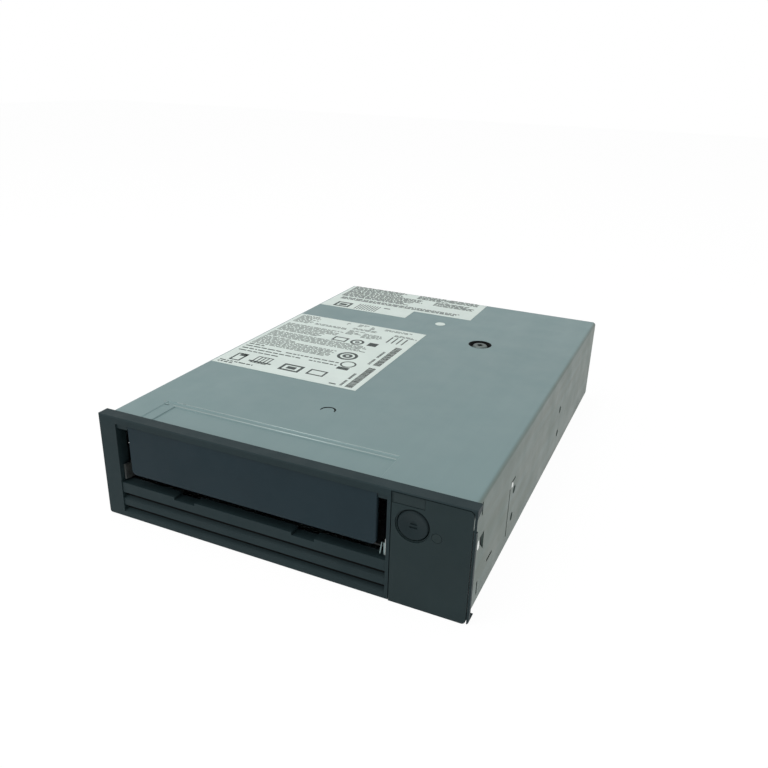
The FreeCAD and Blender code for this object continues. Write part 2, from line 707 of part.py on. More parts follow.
def snap_hook(side):
    """Springy hook behind the bezel, with a wedge that catches in the chassis window."""
    inner = WALL_IN - ASSEMBLY_GAP
    z = (HOOK_Z[0] + HOOK_PLAY, HOOK_Z[1] - HOOK_PLAY)
    arm = box(beside(side, inner - HOOK_T, inner), (-HOOK_ROOT, HOOK_Y), z)
    root = side * (inner - HOOK_T / 2)
    tip = side * (WALL_OUT - RUN_FIT)
    land = HOOK_Y - WEDGE_LAND
    wedge = prism("z", [(root, land - WEDGE_L), (tip, land), (root, land)], z)
    return join(arm, wedge)


def louvre_cut():
    """Saw-tooth cut that leaves two sloping louvres and a groove over the bottom ridge."""
    face = -BEZEL_T + LOUVRE_STEP
    groove = -BEZEL_T + LOUVRE_DEPTH
    points = [(FRONT_CUT, SILL_Z + CLEAR), (face, SILL_Z + CLEAR)]
    for top in LOUVRE_GROOVES:
        points += [(face, top + LOUVRE_LEAD), (groove, top), (groove, top - LOUVRE_GROOVE_H)]
        points.append((face, top - LOUVRE_SLOPE_H))
    ridge_top = LOUVRE_GROOVES[-1] - LOUVRE_SLOPE_H
    points[-1] = (-BEZEL_T, ridge_top)
    points.append((FRONT_CUT, ridge_top))
    return prism("x", points, (MOUTH_LEFT - LOUVRE_MARGIN, MOUTH_RIGHT))


def hinge_ears():
    """Two small blocks in the mouth's upper corners that carry the door's pins."""
    y = (DOOR_FRONT + SINK, -HINGE_EAR_BACK)
    z = (HINGE_Z - HINGE_BARREL_R, MOUTH_TOP + SINK)
    return [box((MOUTH_LEFT - SINK, DOOR_LEFT - HINGE_SIDE_GAP), y, z),
            box((DOOR_RIGHT + HINGE_SIDE_GAP, MOUTH_RIGHT + SINK), y, z)]


def hinge_pin_spans():
    return ((MOUTH_LEFT + HINGE_PIN_SINK, DOOR_LEFT + HINGE_PIN_REACH),
            (DOOR_RIGHT - HINGE_PIN_REACH, MOUTH_RIGHT - HINGE_PIN_SINK))


def door_pins():
    return Part.makeCompound([rod_x(HINGE_PIN_R, HINGE_Y, HINGE_Z, span) for span in hinge_pin_spans()])


def panel_bed():
    """Room in the bezel for the control panel, open at the bottom, with a seam all round."""
    bed = box((PANEL_LEFT - PANEL_SEAM, PANEL_RIGHT + PANEL_SEAM), (FRONT_CUT, PANEL_BACK),
              (-BEZEL_DROP - CLEAR, PANEL_TOP + PANEL_SEAM))
    return rounded(bed, "y", PANEL_CORNER_R + PANEL_SEAM,
                   lambda e: e.CenterOfMass.x > PANEL_RIGHT and e.CenterOfMass.z > 0)


def bezel_frame():
    outer = box((-BEZEL_HALF, BEZEL_HALF), (-BEZEL_T, 0), (-BEZEL_DROP, BEZEL_TOP))
    outer = rounded(outer, "y", BEZEL_CORNER_R, lambda e: e.CenterOfMass.z < 0)
    outer = bevelled(outer, BEZEL_EDGE, lambda e: abs(e.BoundBox.YMax + BEZEL_T) < TINY)
    door_x = (DOOR_LEFT - HINGE_SIDE_GAP, DOOR_RIGHT + HINGE_SIDE_GAP)
    tools = [box((MOUTH_LEFT, MOUTH_RIGHT), (FRONT_CUT, CLEAR), (SILL_Z, MOUTH_TOP)),
             rod_x(HINGE_BARREL_R + HINGE_RELIEF, HINGE_Y, HINGE_Z, door_x),
             box(door_x, (HINGE_Y, CLEAR), (MOUTH_TOP - CLEAR, HINGE_Z + HINGE_BARREL_R + HINGE_RELIEF)),
             louvre_cut(), panel_bed(),
             box((BUTTON_X - BUTTON_R - CLEAR, LENS_X + LENS_R + CLEAR), (PANEL_BACK - CLEAR, CLEAR),
                 (BUTTON_Z - BUTTON_R - CLEAR, BUTTON_Z + BUTTON_R + CLEAR))]
    for x in NOTCH_X:
        tools.append(box((x - NOTCH_W / 2, x + NOTCH_W / 2), (FRONT_CUT, CLEAR),
                         (SILL_Z - NOTCH_DEPTH, SILL_Z + CLEAR)))
    for side in (-1, 1):
        tools += [flank_room(side, FLANK_FOOT), flank_notch(side)]
    post_x = (LENS_X + CLEAR, LENS_X + CLEAR + POST_W)
    posts = [box(post_x, (-CLEAR, FRONT_BOARD_Y), (z - POST_W / 2, z + POST_W / 2)) for z in POST_ZS]
    frame = join(cut(outer, *tools), *hinge_ears(), *posts, snap_hook(-1), snap_hook(1))
    return cut(frame, *[rod_x(HINGE_PIN_R, HINGE_Y, HINGE_Z, span) for span in hinge_pin_spans()])


def door():
    """Flap hung from its upper edge, with three shallow stiffening ribs behind."""
    flap = box((DOOR_LEFT, DOOR_RIGHT), (DOOR_FRONT, DOOR_BACK), (DOOR_BOTTOM, HINGE_Z + HINGE_PIN_R))
    flap = rounded(flap, "y", DOOR_CORNER_R, lambda e: e.CenterOfMass.z < DOOR_BOTTOM + DOOR_CORNER_R)
    flap = bevelled(flap, DOOR_BEVEL,
                    lambda e: abs(e.BoundBox.YMax - DOOR_FRONT) < TINY and e.BoundBox.ZMin < HINGE_Z)
    barrel = rod_x(HINGE_BARREL_R, HINGE_Y, HINGE_Z, (DOOR_LEFT, DOOR_RIGHT))
    rib_x = (DOOR_LEFT + DOOR_RIB_INSET, DOOR_RIGHT - DOOR_RIB_INSET)
    rib_y = (DOOR_BACK - SINK, DOOR_BACK + DOOR_RIB_T)
    ribs = [box(rib_x, rib_y, (DOOR_BOTTOM + up, DOOR_BOTTOM + up + DOOR_RIB_H)) for up in DOOR_RIBS]
    left, right = hinge_pin_spans()
    bores = [rod_x(HINGE_PIN_R + RUN_FIT, HINGE_Y, HINGE_Z, (left[0], left[1] + RUN_FIT)),
             rod_x(HINGE_PIN_R + RUN_FIT, HINGE_Y, HINGE_Z, (right[0] - RUN_FIT, right[1]))]
    return cut(join(flap, barrel, *ribs), *bores)


def control_panel():
    """Panel with the button's bore and ring groove, the lens bore and the window's opening."""
    plate = box((PANEL_LEFT, PANEL_RIGHT), (-BEZEL_T, PANEL_BACK), (-BEZEL_DROP, PANEL_TOP))
    plate = rounded(plate, "y", PANEL_CORNER_R, lambda e: e.CenterOfMass.x > PANEL_RIGHT - CLEAR)
    window = box((WINDOW_X[0] - WINDOW_GAP, WINDOW_X[1] + WINDOW_GAP), (FRONT_CUT, 0),
                 (WINDOW_Z[0] - WINDOW_GAP, WINDOW_Z[1] + WINDOW_GAP))
    return cut(plate, flank_room(1, -BEZEL_DROP - CLEAR), flank_notch(1), window,
               rod_y(BUTTON_R + BUTTON_BORE_GAP + BUTTON_RING_W, BUTTON_X, BUTTON_Z,
                     (FRONT_CUT, -BEZEL_T + BUTTON_RING_DEPTH)),
               rod_y(BUTTON_R + BUTTON_BORE_GAP, BUTTON_X, BUTTON_Z, (FRONT_CUT, 0)),
               rod_y(LENS_R + LENS_GAP, LENS_X, LENS_Z, (FRONT_CUT, 0)))


def status_window():
    """Smoked window set into the panel, a hair behind its face, seated on the bezel."""
    return box(WINDOW_X, (-BEZEL_T + WINDOW_SUNK, PANEL_BACK), WINDOW_Z)


def status_lens():
    """Light pipe with a collar that seats behind the panel."""
    body = rod_y(LENS_R, LENS_X, LENS_Z, (-BEZEL_T, PANEL_BACK))
    return join(body, rod_y(LENS_R + LENS_COLLAR_W, LENS_X, LENS_Z, (PANEL_BACK, PANEL_BACK + COLLAR_T)))


def eject_button():
    """Round cap with a dished face, a retaining collar and a sunk eject mark."""
    front = -BEZEL_T + BUTTON_SUNK
    cap = rod_y(BUTTON_R, BUTTON_X, BUTTON_Z, (front, COLLAR_Y[0] + SINK))
    cap = bevelled(cap, BUTTON_EDGE, lambda e: abs(e.BoundBox.YMax - front) < TINY)
    outer, inner, depth = BUTTON_DISH
    dish = Part.makeCone(outer, inner, depth, V(BUTTON_X, front, BUTTON_Z), V(0, 1, 0))
    collar = rod_y(BUTTON_R + COLLAR_W, BUTTON_X, BUTTON_Z, COLLAR_Y)
    sunk = (front, front + depth + MARK_DEPTH)
    half = MARK_W / 2
    corners = [(BUTTON_X - half, BUTTON_Z), (BUTTON_X + half, BUTTON_Z), (BUTTON_X, BUTTON_Z + half)]
    triangle = prism("y", corners, sunk)
    bar = box((BUTTON_X - half, BUTTON_X + half), sunk, (BUTTON_Z - half, BUTTON_Z - half / 2))
    return cut(join(cap, collar), dish, triangle, bar)


def front_board():
    """Small upright board behind the control panel, notched for the bezel's hook."""
    board = box((RAIL_R[0] + ASSEMBLY_GAP, WALL_IN - FRONT_BOARD_SIDE_GAP),
                (FRONT_BOARD_Y, FRONT_BOARD_Y + FRONT_BOARD_T), FRONT_BOARD_Z)
    width, depth, margin = HOOK_ROOM
    return cut(board, box((WALL_IN - width, WALL_IN), (0, depth), (HOOK_Z[0] - margin, HOOK_Z[1] + margin)))


def button_switch():
    half = SWITCH_W / 2
    body = box((BUTTON_X - half, BUTTON_X + half), (SWITCH_FRONT, FRONT_BOARD_Y),
               (BUTTON_Z - half, BUTTON_Z + half))
    plunger = (COLLAR_Y[1] + BUTTON_TRAVEL + RUN_FIT, SWITCH_FRONT + SINK)
    return join(body, rod_y(PLUNGER_R, BUTTON_X, BUTTON_Z, plunger))


def status_lamp():
    half = LAMP_W / 2
    base = box((LENS_X - half, LENS_X + half), (-LAMP_FRONT, FRONT_BOARD_Y), (LENS_Z - half, LENS_Z + half))
    dome = rod_y(LAMP_R, LENS_X, LENS_Z, (LAMP_FRONT, SINK - LAMP_FRONT))
    return join(base, bevelled(dome, LAMP_BEVEL, lambda e: abs(e.BoundBox.YMax - LAMP_FRONT) < TINY))


# ---------------------------------------------------------------- chassis
def floor_plate():
    """Floor with rows of vent slots."""
    floor = box((-WALL_OUT, WALL_OUT), (0, REAR_IN), (0, FLOOR_T))
    xs = [FLOOR_SLOT_PITCH * k for k in range(-FLOOR_SLOTS_EACH_SIDE, FLOOR_SLOTS_EACH_SIDE + 1)]
    through = (-CLEAR, FLOOR_T + CLEAR)
    slots = [box((x - FLOOR_SLOT_W / 2, x + FLOOR_SLOT_W / 2), (y, y + FLOOR_SLOT_L), through)
             for x in xs for y in FLOOR_SLOT_ROWS]
    return cut(floor, *slots)


def side_wall(side):
    """Cast wall with its outer upper edge bevelled, the deck's ledge and two screw bosses."""
    wall = box(beside(side, WALL_IN, WALL_OUT), (0, REAR_IN), (0, WALL_TOP))
    wall = bevelled(wall, WALL_BEVEL, lambda e: along(e, "y") and e.CenterOfMass.z > WALL_TOP - CLEAR
                    and abs(e.CenterOfMass.x) > WALL_OUT - SINK)
    ledge = box(beside(side, WALL_IN - LEDGE_W, WALL_IN + SINK), (LEDGE_FRONT, REAR_IN - LEDGE_REAR_GAP),
                (DECK_Z - LEDGE_T, DECK_Z))
    boss_x = beside(side, BOTTOM_SPACING_X / 2 - BOSS_IN, WALL_IN + SINK)
    boss_z = (FLOOR_T - SINK, DECK_Z - BOSS_TOP_GAP)
    bosses = [box(boss_x, (y - BOSS_HALF, y + BOSS_HALF), boss_z) for y in MOUNT_Y]
    return [wall, ledge, *bosses]


def side_openings(side):
    """Screw holes, the bezel's snap window and pockets behind the cover's slots, in one wall."""
    through = beside(side, WALL_IN - LEDGE_W - CLEAR, WALL_OUT + CLEAR)
    tools = [rod_x(MOUNT_HOLE_R, y, z, through) for y in MOUNT_Y for z in SIDE_HOLE_Z]
    hole_x = side * BOTTOM_SPACING_X / 2
    tools += [rod_z(MOUNT_HOLE_R, hole_x, y, (-CLEAR, BOTTOM_HOLE_DEPTH)) for y in MOUNT_Y]
    tools.append(box(through, (HOOK_Y - SNAP_WINDOW_L, HOOK_Y + SINK), HOOK_Z))
    pocket = beside(side, WALL_OUT - SLOT_BEHIND, WALL_OUT + CLEAR)
    tools += [box(pocket, *slot) for slot in (FRONT_SLOT, LOWER_SLOT, FLAT_SLOT, SPRING_SLIT, SPRING_TOP)]
    return tools


def base_frame():
    """Cast tray: floor with vent slots, two side walls, deck ledges, board posts and screw bosses."""
    posts = [block(x, y, (FLOOR_T - SINK, BOARD_Z), STANDOFF_W / 2)
             for x in (-STANDOFF_X, STANDOFF_X) for y in STANDOFF_YS]
    solid = join(floor_plate(), *side_wall(-1), *side_wall(1), *posts)
    return cut(solid, *side_openings(-1), *side_openings(1))


def recess(level, top_z, bottom_z):
    """Tapered block for one step of the stamped recess at the cover's front."""
    left, right = (RECESS_OUTER, RECESS_INNER)[level]
    back = RECESS_BACKS[level]

    def outline(inset, z):
        corners = [V(left + inset, -CLEAR, z), V(right - inset, -CLEAR, z), V(right - inset, back - inset, z),
                   V(left + inset, back - inset, z)]
        return Part.makePolygon(corners + corners[:1])

    return Part.makeLoft([outline(0, top_z), outline(RECESS_SLOPE, bottom_z)], True, True)


def recess_dents():
    """The recess seen from below: the sheet pushed down under each step."""
    half_space = box((-HALF_W, HALF_W), (0, CHASSIS_D), (0, CHASSIS_H))
    return [recess(k, COVER_UNDER, COVER_UNDER - RECESS_DEPTHS[k]).common(half_space) for k in (0, 1)]


def side_cuts(side):
    """Screw clearance holes, snap window, slots and spring slit in one cover flange."""
    x = beside(side, WALL_OUT - CLEAR, HALF_W + CLEAR)
    tools = [rod_x(COVER_HOLE_R, y, z, x) for y in MOUNT_Y for z in SIDE_HOLE_Z]
    back = HOOK_Y + SINK
    tools.append(prism("x", [(back, HOOK_Z[0]), (back, HOOK_Z[1]), (back - SNAP_WINDOW_L, HOOK_Z[1] - SINK),
                             (back - SNAP_WINDOW_L, HOOK_Z[1] - SNAP_WINDOW_NOSE)], x))
    tools += [box(x, *slot) for slot in (FRONT_SLOT, LOWER_SLOT, FLAT_SLOT, SPRING_SLIT, SPRING_TOP)]
    return tools


def cover_flange_front(side):
    """Front tab of a side flange and the strip that shows behind the bezel's lip."""
    x = beside(side, WALL_OUT, HALF_W)
    front = -BEZEL_T + 2 * BEZEL_EDGE
    strip = box(x, (FLANK_Y + RUN_FIT, HOOK_ROOT), (STRIP_LOW, TAB_LOW - STRIP_STEP))
    outline = [(front, TAB_LOW), (HOOK_ROOT, TAB_LOW), (HOOK_ROOT, TAB_HIGH), (front, TAB_HIGH - TAB_SLOPE)]
    tab = prism("x", outline, x)
    neck = box(x, (FLANK_Y + STRIP_STEP, HOOK_ROOT), (TAB_LOW - STRIP_STEP - SINK, TAB_LOW + SINK))
    return [strip, tab, neck]


def top_cover():
    """Bent sheet: top, two long flanges, stepped stamped recess, screw well and pierced half-round."""
    outer = rounded(box((-HALF_W, HALF_W), (0, CHASSIS_D), (COVER_LOWER_EDGE, CHASSIS_H)), "y", SHEET_BEND_R,
                    lambda e: e.CenterOfMass.z > CHASSIS_H - CLEAR)
    inner = rounded(box((-WALL_OUT, WALL_OUT), (-CLEAR, CHASSIS_D + CLEAR), (-CLEAR, COVER_UNDER)), "y",
                    SHEET_BEND_R - SHEET_T, lambda e: e.CenterOfMass.z > COVER_UNDER - CLEAR)
    well_dent = cone_z(WELL_R + WELL_SLOPE + SHEET_T, WELL_R + SHEET_T, PIVOT_X, PIVOT_Y,
                       (WELL_FLOOR - SHEET_T, COVER_UNDER + ASSEMBLY_GAP))
    flange_fronts = [*cover_flange_front(-1), *cover_flange_front(1)]
    sheet = join(outer.cut(inner), *recess_dents(), well_dent, *flange_fronts)
    above = (COVER_UNDER - CLEAR, CHASSIS_H + CLEAR)
    x, y = HALF_ROUND
    lance = ring_z(HALF_ROUND_R, HALF_ROUND_R - HALF_ROUND_W, x, y, above)
    lance = lance.common(box((x - 2 * HALF_ROUND_R, x + 2 * HALF_ROUND_R), (y, y + 2 * HALF_ROUND_R), above))
    return cut(sheet, *[recess(k, CHASSIS_H, CHASSIS_H - RECESS_DEPTHS[k]) for k in (0, 1)],
               cone_z(WELL_R + WELL_SLOPE, WELL_R, PIVOT_X, PIVOT_Y, (WELL_FLOOR, CHASSIS_H)),
               rod_z(COVER_SCREW_R + ASSEMBLY_GAP, PIVOT_X, PIVOT_Y, (STUD_Z[0], CHASSIS_H)),
               lance, *side_cuts(-1), *side_cuts(1))


def cover_screw():
    """Pan-head screw with a six-lobed drive, sunk in the cover's well."""
    top = CHASSIS_H - SCREW_HEAD_SUNK
    head = rod_z(SCREW_HEAD_R, PIVOT_X, PIVOT_Y, (WELL_FLOOR, top))
    head = bevelled(head, SCREW_HEAD_BEVEL, lambda e: e.BoundBox.ZMin > top - SINK)
    shank_z = (STUD_Z[0] + STUD_TAP_FLOOR + ASSEMBLY_GAP, WELL_FLOOR + SINK)
    shank = rod_z(COVER_SCREW_R, PIVOT_X, PIVOT_Y, shank_z)
    drive = prism("z", star(PIVOT_X, PIVOT_Y, DRIVE_R, DRIVE_LOBES), (top - SCREW_SEAT_DEPTH, top + CLEAR))
    return join(head, shank).cut(drive)


def on_cover(outline):
    return prism("z", outline, (CHASSIS_H, CHASSIS_H + LABEL_T))


def main_label():
    return box((LABEL_LEFT, MAIN_LABEL_RIGHT), MAIN_LABEL_Y, (CHASSIS_H, CHASSIS_H + LABEL_T))


def rear_label():
    front, step, back = [CHASSIS_D - d for d in (REAR_LABEL_FRONT, REAR_LABEL_STEP_Y, REAR_LABEL_BACK)]
    return on_cover([(LABEL_LEFT, front), (REAR_LABEL_STEP_X, front), (REAR_LABEL_STEP_X, step),
                     (REAR_LABEL_RIGHT, step), (REAR_LABEL_RIGHT, back), (LABEL_LEFT, back)])


def cover_sticker():
    return rod_z(STICKER_R, STICKER_X, CHASSIS_D - STICKER_FROM_REAR, (CHASSIS_H, CHASSIS_H + LABEL_T))


def rear_panel():
    """Sheet rear wall with a row of vents and two connector openings."""
    y = (REAR_IN - CLEAR, CHASSIS_D + CLEAR)
    panel = box((-WALL_OUT + ASSEMBLY_GAP, WALL_OUT - ASSEMBLY_GAP), (REAR_IN, CHASSIS_D), (0, WALL_TOP))
    panel = rounded(panel, "y", REAR_CORNER_R, lambda e: e.CenterOfMass.z > WALL_TOP - CLEAR)
    opening_z = (SOCKET_Z[0] - SOCKET_GAP, SOCKET_Z[1] + SOCKET_GAP)
    openings = [box((x[0] - SOCKET_GAP, x[1] + SOCKET_GAP), y, opening_z) for x in (HOST_X, PORT_X)]
    xs = [VENT_PITCH * k for k in range(-VENTS_EACH_SIDE, VENTS_EACH_SIDE + 1)]
    vents = [box((x - VENT_W / 2, x + VENT_W / 2), y, (VENT_Z, VENT_Z + VENT_H)) for x in xs]
    return cut(panel, *openings, *vents)


def socket(x, cavity):
    """Connector housing on the board with a cavity open to the rear."""
    width, height, depth = cavity
    middle = (x[0] + x[1]) / 2
    low = SOCKET_Z[0] + SOCKET_WALL
    housing = box(x, (CONNECTOR_FRONT, CHASSIS_D - SOCKET_SUNK), SOCKET_Z)
    return cut(housing, box((middle - width / 2, middle + width / 2), (CHASSIS_D - depth, CHASSIS_D + CLEAR),
                            (low, low + height)))


def host_connector():
    """Edge-type host socket with its contact tongue under the roof of the cavity."""
    y = (CHASSIS_D - HOST_CAVITY[2] - HOOK_ROOT, CHASSIS_D - TONGUE_FRONT)
    low, high = [SOCKET_Z[0] + up for up in HOST_TONGUE_Z]
    tongue = box((-HOST_TONGUE_W / 2, HOST_TONGUE_W / 2), y, (low, high))
    key = box(HOST_KEY_X, y, (high - ASSEMBLY_GAP, SOCKET_Z[0] + HOST_KEY_TOP))
    return join(socket(HOST_X, HOST_CAVITY), tongue, key)


def library_port():
    return socket(PORT_X, PORT_CAVITY)


# ---------------------------------------------------------------- deck and boards
def deck_plate():
    """Machined plate that carries the motors, rails, posts and gears."""
    half = WALL_IN - ASSEMBLY_GAP
    plate = box((-half, half), (DECK_FRONT, CONNECTOR_FRONT - DECK_REAR_GAP), (DECK_Z, DECK_TOP))
    through = (DECK_Z - CLEAR, DECK_TOP + CLEAR)
    tools = [rod_z(SUPPLY_MOTOR_R + MOTOR_HOLE_GAP, BAY_X, SUPPLY_Y, through),
             rod_z(TAKEUP_MOTOR_R + MOTOR_HOLE_GAP, TAKEUP_X, TAKEUP_Y, through),
             rod_z(SCREW_R + SCREW_ROOM, *LEAD_SCREW_XY, through)]
    for side in (-1, 1):
        tools += [rod_z(SCREW_ROOM_R, side * (half + HUB_GAP), y, through) for y in MOUNT_Y]
    tools += [block(x, y, through, CABLE_SLOT_L / 2, CABLE_SLOT_W / 2) for x, y in CABLE_SLOTS]
    return cut(plate, *tools)


def logic_board():
    return box((-BOARD_HALF_W, BOARD_HALF_W), (BOARD_FRONT, REAR_IN - BOARD_REAR_GAP), (BOARD_Z, BOARD_TOP))


def board_components():
    """Chips and capacitors soldered on the logic board."""
    rear = [(x, CHASSIS_D - d, w, l, h) for x, d, w, l, h in REAR_CHIPS]
    chips = [block(x, y, (BOARD_TOP, BOARD_TOP + h), w / 2, l / 2) for x, y, w, l, h in list(CHIPS) + rear]
    cans = [rod_z(CAPACITOR_R, x, CHASSIS_D - CAPACITOR_FROM_REAR, (BOARD_TOP, BOARD_TOP + CAPACITOR_H))
            for x in CAPACITOR_XS]
    return Part.makeCompound(chips + cans)


def chip_heatsink():
    """Finned block on the largest chip."""
    x, y, w, l, h = CHIPS[0]
    seat = BOARD_TOP + h
    plate = block(x, y, (seat, seat + HEATSINK_BASE), w / 2, l / 2)
    pitch = w / (FIN_COUNT + 1)
    fin_z = (seat + HEATSINK_BASE - ASSEMBLY_GAP, DECK_Z - HEATSINK_GAP)
    fins = [block(x - w / 2 + (k + 1) * pitch, y, fin_z, FIN_HALF, l / 2) for k in range(FIN_COUNT)]
    return join(plate, *fins)


def reader_board():
    """Small antenna board with a square coil, under the loaded cartridge's rear left corner."""
    x = (CART_LEFT + READER_X[0], CART_LEFT + READER_X[1])
    y = (CART_END - READER_FROM_CART_END[0], CART_END - READER_FROM_CART_END[1])
    board = box(x, y, (DECK_TOP, DECK_TOP + READER_T))
    middle = ((x[0] + x[1]) / 2, (y[0] + y[1]) / 2)
    z = (DECK_TOP + READER_T - ASSEMBLY_GAP, DECK_TOP + READER_T + COIL_T)
    coil = block(*middle, z, COIL_HALF).cut(block(*middle, z, COIL_HALF - COIL_W))
    return join(board, coil)


def tray_sensor():
    """Fork-shaped light barrier that sees the tray arrive."""
    x, y = CART_LEFT + SENSOR_FROM_LEFT, CART_END + SENSOR_BEHIND_CART
    fork = block(x, y, (DECK_TOP, DECK_TOP + SENSOR_H), *SENSOR_HALF)
    return cut(fork, block(x, y, (DECK_TOP + SENSOR_SLOT_UP, DECK_TOP + SENSOR_H + CLEAR), SENSOR_SLOT_HALF,
                           SENSOR_HALF[1] + CLEAR))


# ---------------------------------------------------------------- cartridge loader
def rail_slots(x, pins_y):
    """Inclined slots that carry the tray's pins back and down."""
    return [capsule_x(GUIDE_PIN_R + RUN_FIT, (y, PIN_Z), (y + LOAD_TRAVEL, PIN_Z - LOAD_DROP),
                      (x[0] - CLEAR, x[1] + CLEAR)) for y in pins_y]


def slider_slots(x, pins_y):
    """Upright slots that push the tray's pins along."""
    return [capsule_x(GUIDE_PIN_R + RUN_FIT, (y, PIN_Z), (y, PIN_Z - LOAD_DROP), (x[0] - CLEAR, x[1] + CLEAR))
            for y in pins_y]


def guide_rail_left():
    x = RAIL_L
    plate = box(x, (RAIL_FRONT, RAIL_LEFT_BACK), (DECK_TOP, RAIL_LEFT_TOP))
    hole = rod_x(RAIL_HOLE_R, MOUNT_Y[0], SIDE_HOLE_Z[1], (x[0] - CLEAR, x[1] + CLEAR))
    corner = rod_z(SCREW_ROOM_R, -WALL_IN + SINK, MOUNT_Y[0], (DECK_TOP - CLEAR, DECK_TOP + RAIL_CORNER_H))
    return cut(plate, *rail_slots(x, LEFT_PINS_Y), hole, corner)


def guide_rail_right():
    x = RAIL_R
    plate = box(x, (RAIL_FRONT, RAIL_RIGHT_BACK), (DECK_TOP, RAIL_RIGHT_TOP))
    feet = [box((x[0], x[1] + RAIL_FOOT_W), (y, y + RAIL_FOOT_L), (DECK_TOP, DECK_TOP + RAIL_FOOT_T))
            for y in RAIL_FOOT_YS]
    return cut(join(plate, *feet), *rail_slots(x, RIGHT_PINS_Y))


def slider_window(x, y):
    return prism("x", bevelled_outline(y, SLIDER_WINDOW_Z, SLIDER_WINDOW_BEVEL), (x[0] - CLEAR, x[1] + CLEAR))


def slider_left():
    x = SLIDER_L
    front, back = SLIDER_LEFT_Y
    top = SLIDER_LEFT_TOP
    run, fall = SLIDER_LEFT_BEVELS
    outline = [(front, SLIDER_BOTTOM), (back, SLIDER_BOTTOM), (back, SLIDER_LEFT_REAR_TOP), (back - run, top),
               (front + run, top), (front, top - fall)]
    return cut(prism("x", outline, x), *slider_slots(x, LEFT_PINS_Y), slider_window(x, SLIDER_WINDOW_LEFT))


def rack_outline(back_x):
    """Seen from above: a bar whose teeth face the load gear, in mesh with its tooth gap."""
    root_x = RACK_LINE_X - DEDENDUM * RACK_MODULE
    tip_x = RACK_LINE_X + ADDENDUM * RACK_MODULE
    pitch = math.pi * RACK_MODULE
    half = TOOTH_SHARE * pitch / 2
    half_root = half + TOOTH_TAPER * DEDENDUM * RACK_MODULE
    half_tip = half - TOOTH_TAPER * ADDENDUM * RACK_MODULE
    first = LOAD_GEAR_Y + pitch / 2 - pitch * round((LOAD_GEAR_Y - RACK_Y[0]) / pitch)
    points = [(back_x, RACK_Y[0] - CLEAR), (root_x, RACK_Y[0] - CLEAR)]
    for k in range(int((RACK_Y[1] - RACK_Y[0]) / pitch)):
        middle = first + pitch * k
        points += [(root_x, middle - half_root), (tip_x, middle - half_tip), (tip_x, middle + half_tip),
                   (root_x, middle + half_root)]
    return points + [(root_x, RACK_Y[1] + CLEAR), (back_x, RACK_Y[1] + CLEAR)]


def slider_right():
    """Right slider with a flange on its upper edge that carries the rack."""
    x = SLIDER_R
    front, back = SLIDER_RIGHT_Y
    outline = [(front, SLIDER_BOTTOM), (back, SLIDER_BOTTOM), (back, SLIDER_RIGHT_REAR_TOP),
               (RACK_Y[1] + RACK_RAMP[1], RACK_Z[1]), (RACK_Y[0] - RACK_RAMP[0], RACK_Z[1]),
               (front, SLIDER_RIGHT_FRONT_TOP)]
    web = cut(prism("x", outline, x), *slider_slots(x, RIGHT_PINS_Y), slider_window(x, SLIDER_WINDOW_RIGHT))
    return join(web, prism("z", rack_outline(x[0]), RACK_Z))


def tray_lip(side_x, flare):
    """Flared front corner that steers a cartridge into the tray."""
    back = TRAY_FRONT_Y + RUN_FIT
    thick = math.copysign(TRAY_T, flare)
    return prism("z", [(side_x, back), (side_x + flare, back - LIP_L), (side_x + flare + thick, back - LIP_L),
                       (side_x + thick, back)], (TRAY_BOTTOM + LIP_RAISE, CART_Z + LIP_TOP))


def tray_roof(left_x, right_x, rear):
    """Roof with three bevelled windows."""
    z = (TRAY_TOP - CLEAR, TRAY_TOP + TRAY_T + CLEAR)
    windows = [prism("z", bevelled_outline((BAY_X + dx - TRAY_WINDOW_HALF, BAY_X + dx + TRAY_WINDOW_HALF),
                                           TRAY_WINDOW_Y, TRAY_WINDOW_BEVEL), z) for dx in TRAY_WINDOW_DX]
    return cut(box((left_x, right_x), (TRAY_ROOF_Y, rear), (TRAY_TOP, TRAY_TOP + TRAY_T)), *windows)


def cartridge_tray():
    """Bent sheet cage: roof, two side walls, two ledges, a rear stop and flared front corners."""
    left = (TRAY_LEFT - TRAY_T, TRAY_LEFT)
    right = (TRAY_RIGHT, TRAY_RIGHT + TRAY_T)
    rear = TRAY_STOP_Y + TRAY_T
    top = TRAY_TOP + TRAY_T
    wall_end = TRAY_RIGHT_WALL_END
    left_wall = prism("x", [(TRAY_FRONT_Y, TRAY_BOTTOM), (rear, TRAY_BOTTOM), (rear, top), (TRAY_ROOF_Y, top),
                            (TRAY_FRONT_Y, TRAY_FRONT_TOP)], left)
    right_wall = prism("x", [(TRAY_FRONT_Y, TRAY_BOTTOM), (wall_end, TRAY_BOTTOM),
                             (wall_end, TRAY_RIGHT_WALL_LOW), (wall_end + TRAY_RIGHT_WALL_RAMP, top),
                             (TRAY_ROOF_Y, top), (TRAY_FRONT_Y, TRAY_FRONT_TOP)], right)
    ledge_z = (TRAY_BOTTOM, CART_Z)
    ledges = [box((left[0], left[1] + TRAY_LEDGE), (TRAY_FRONT_Y, rear), ledge_z),
              box((right[0] - TRAY_LEDGE, right[1]), (TRAY_FRONT_Y, wall_end), ledge_z)]
    stops = [box((BAY_X + dx - TRAY_STOP_HALF, BAY_X + dx + TRAY_STOP_HALF), (TRAY_STOP_Y, rear),
                 (TRAY_STOP_LOW, top - SINK)) for dx in TRAY_STOPS_DX]
    lips = [tray_lip(TRAY_LEFT, -LIP_FLARE), tray_lip(TRAY_RIGHT, LIP_FLARE)]
    return join(tray_roof(left[0], right[1], rear), left_wall, right_wall, *ledges, *stops, *lips)


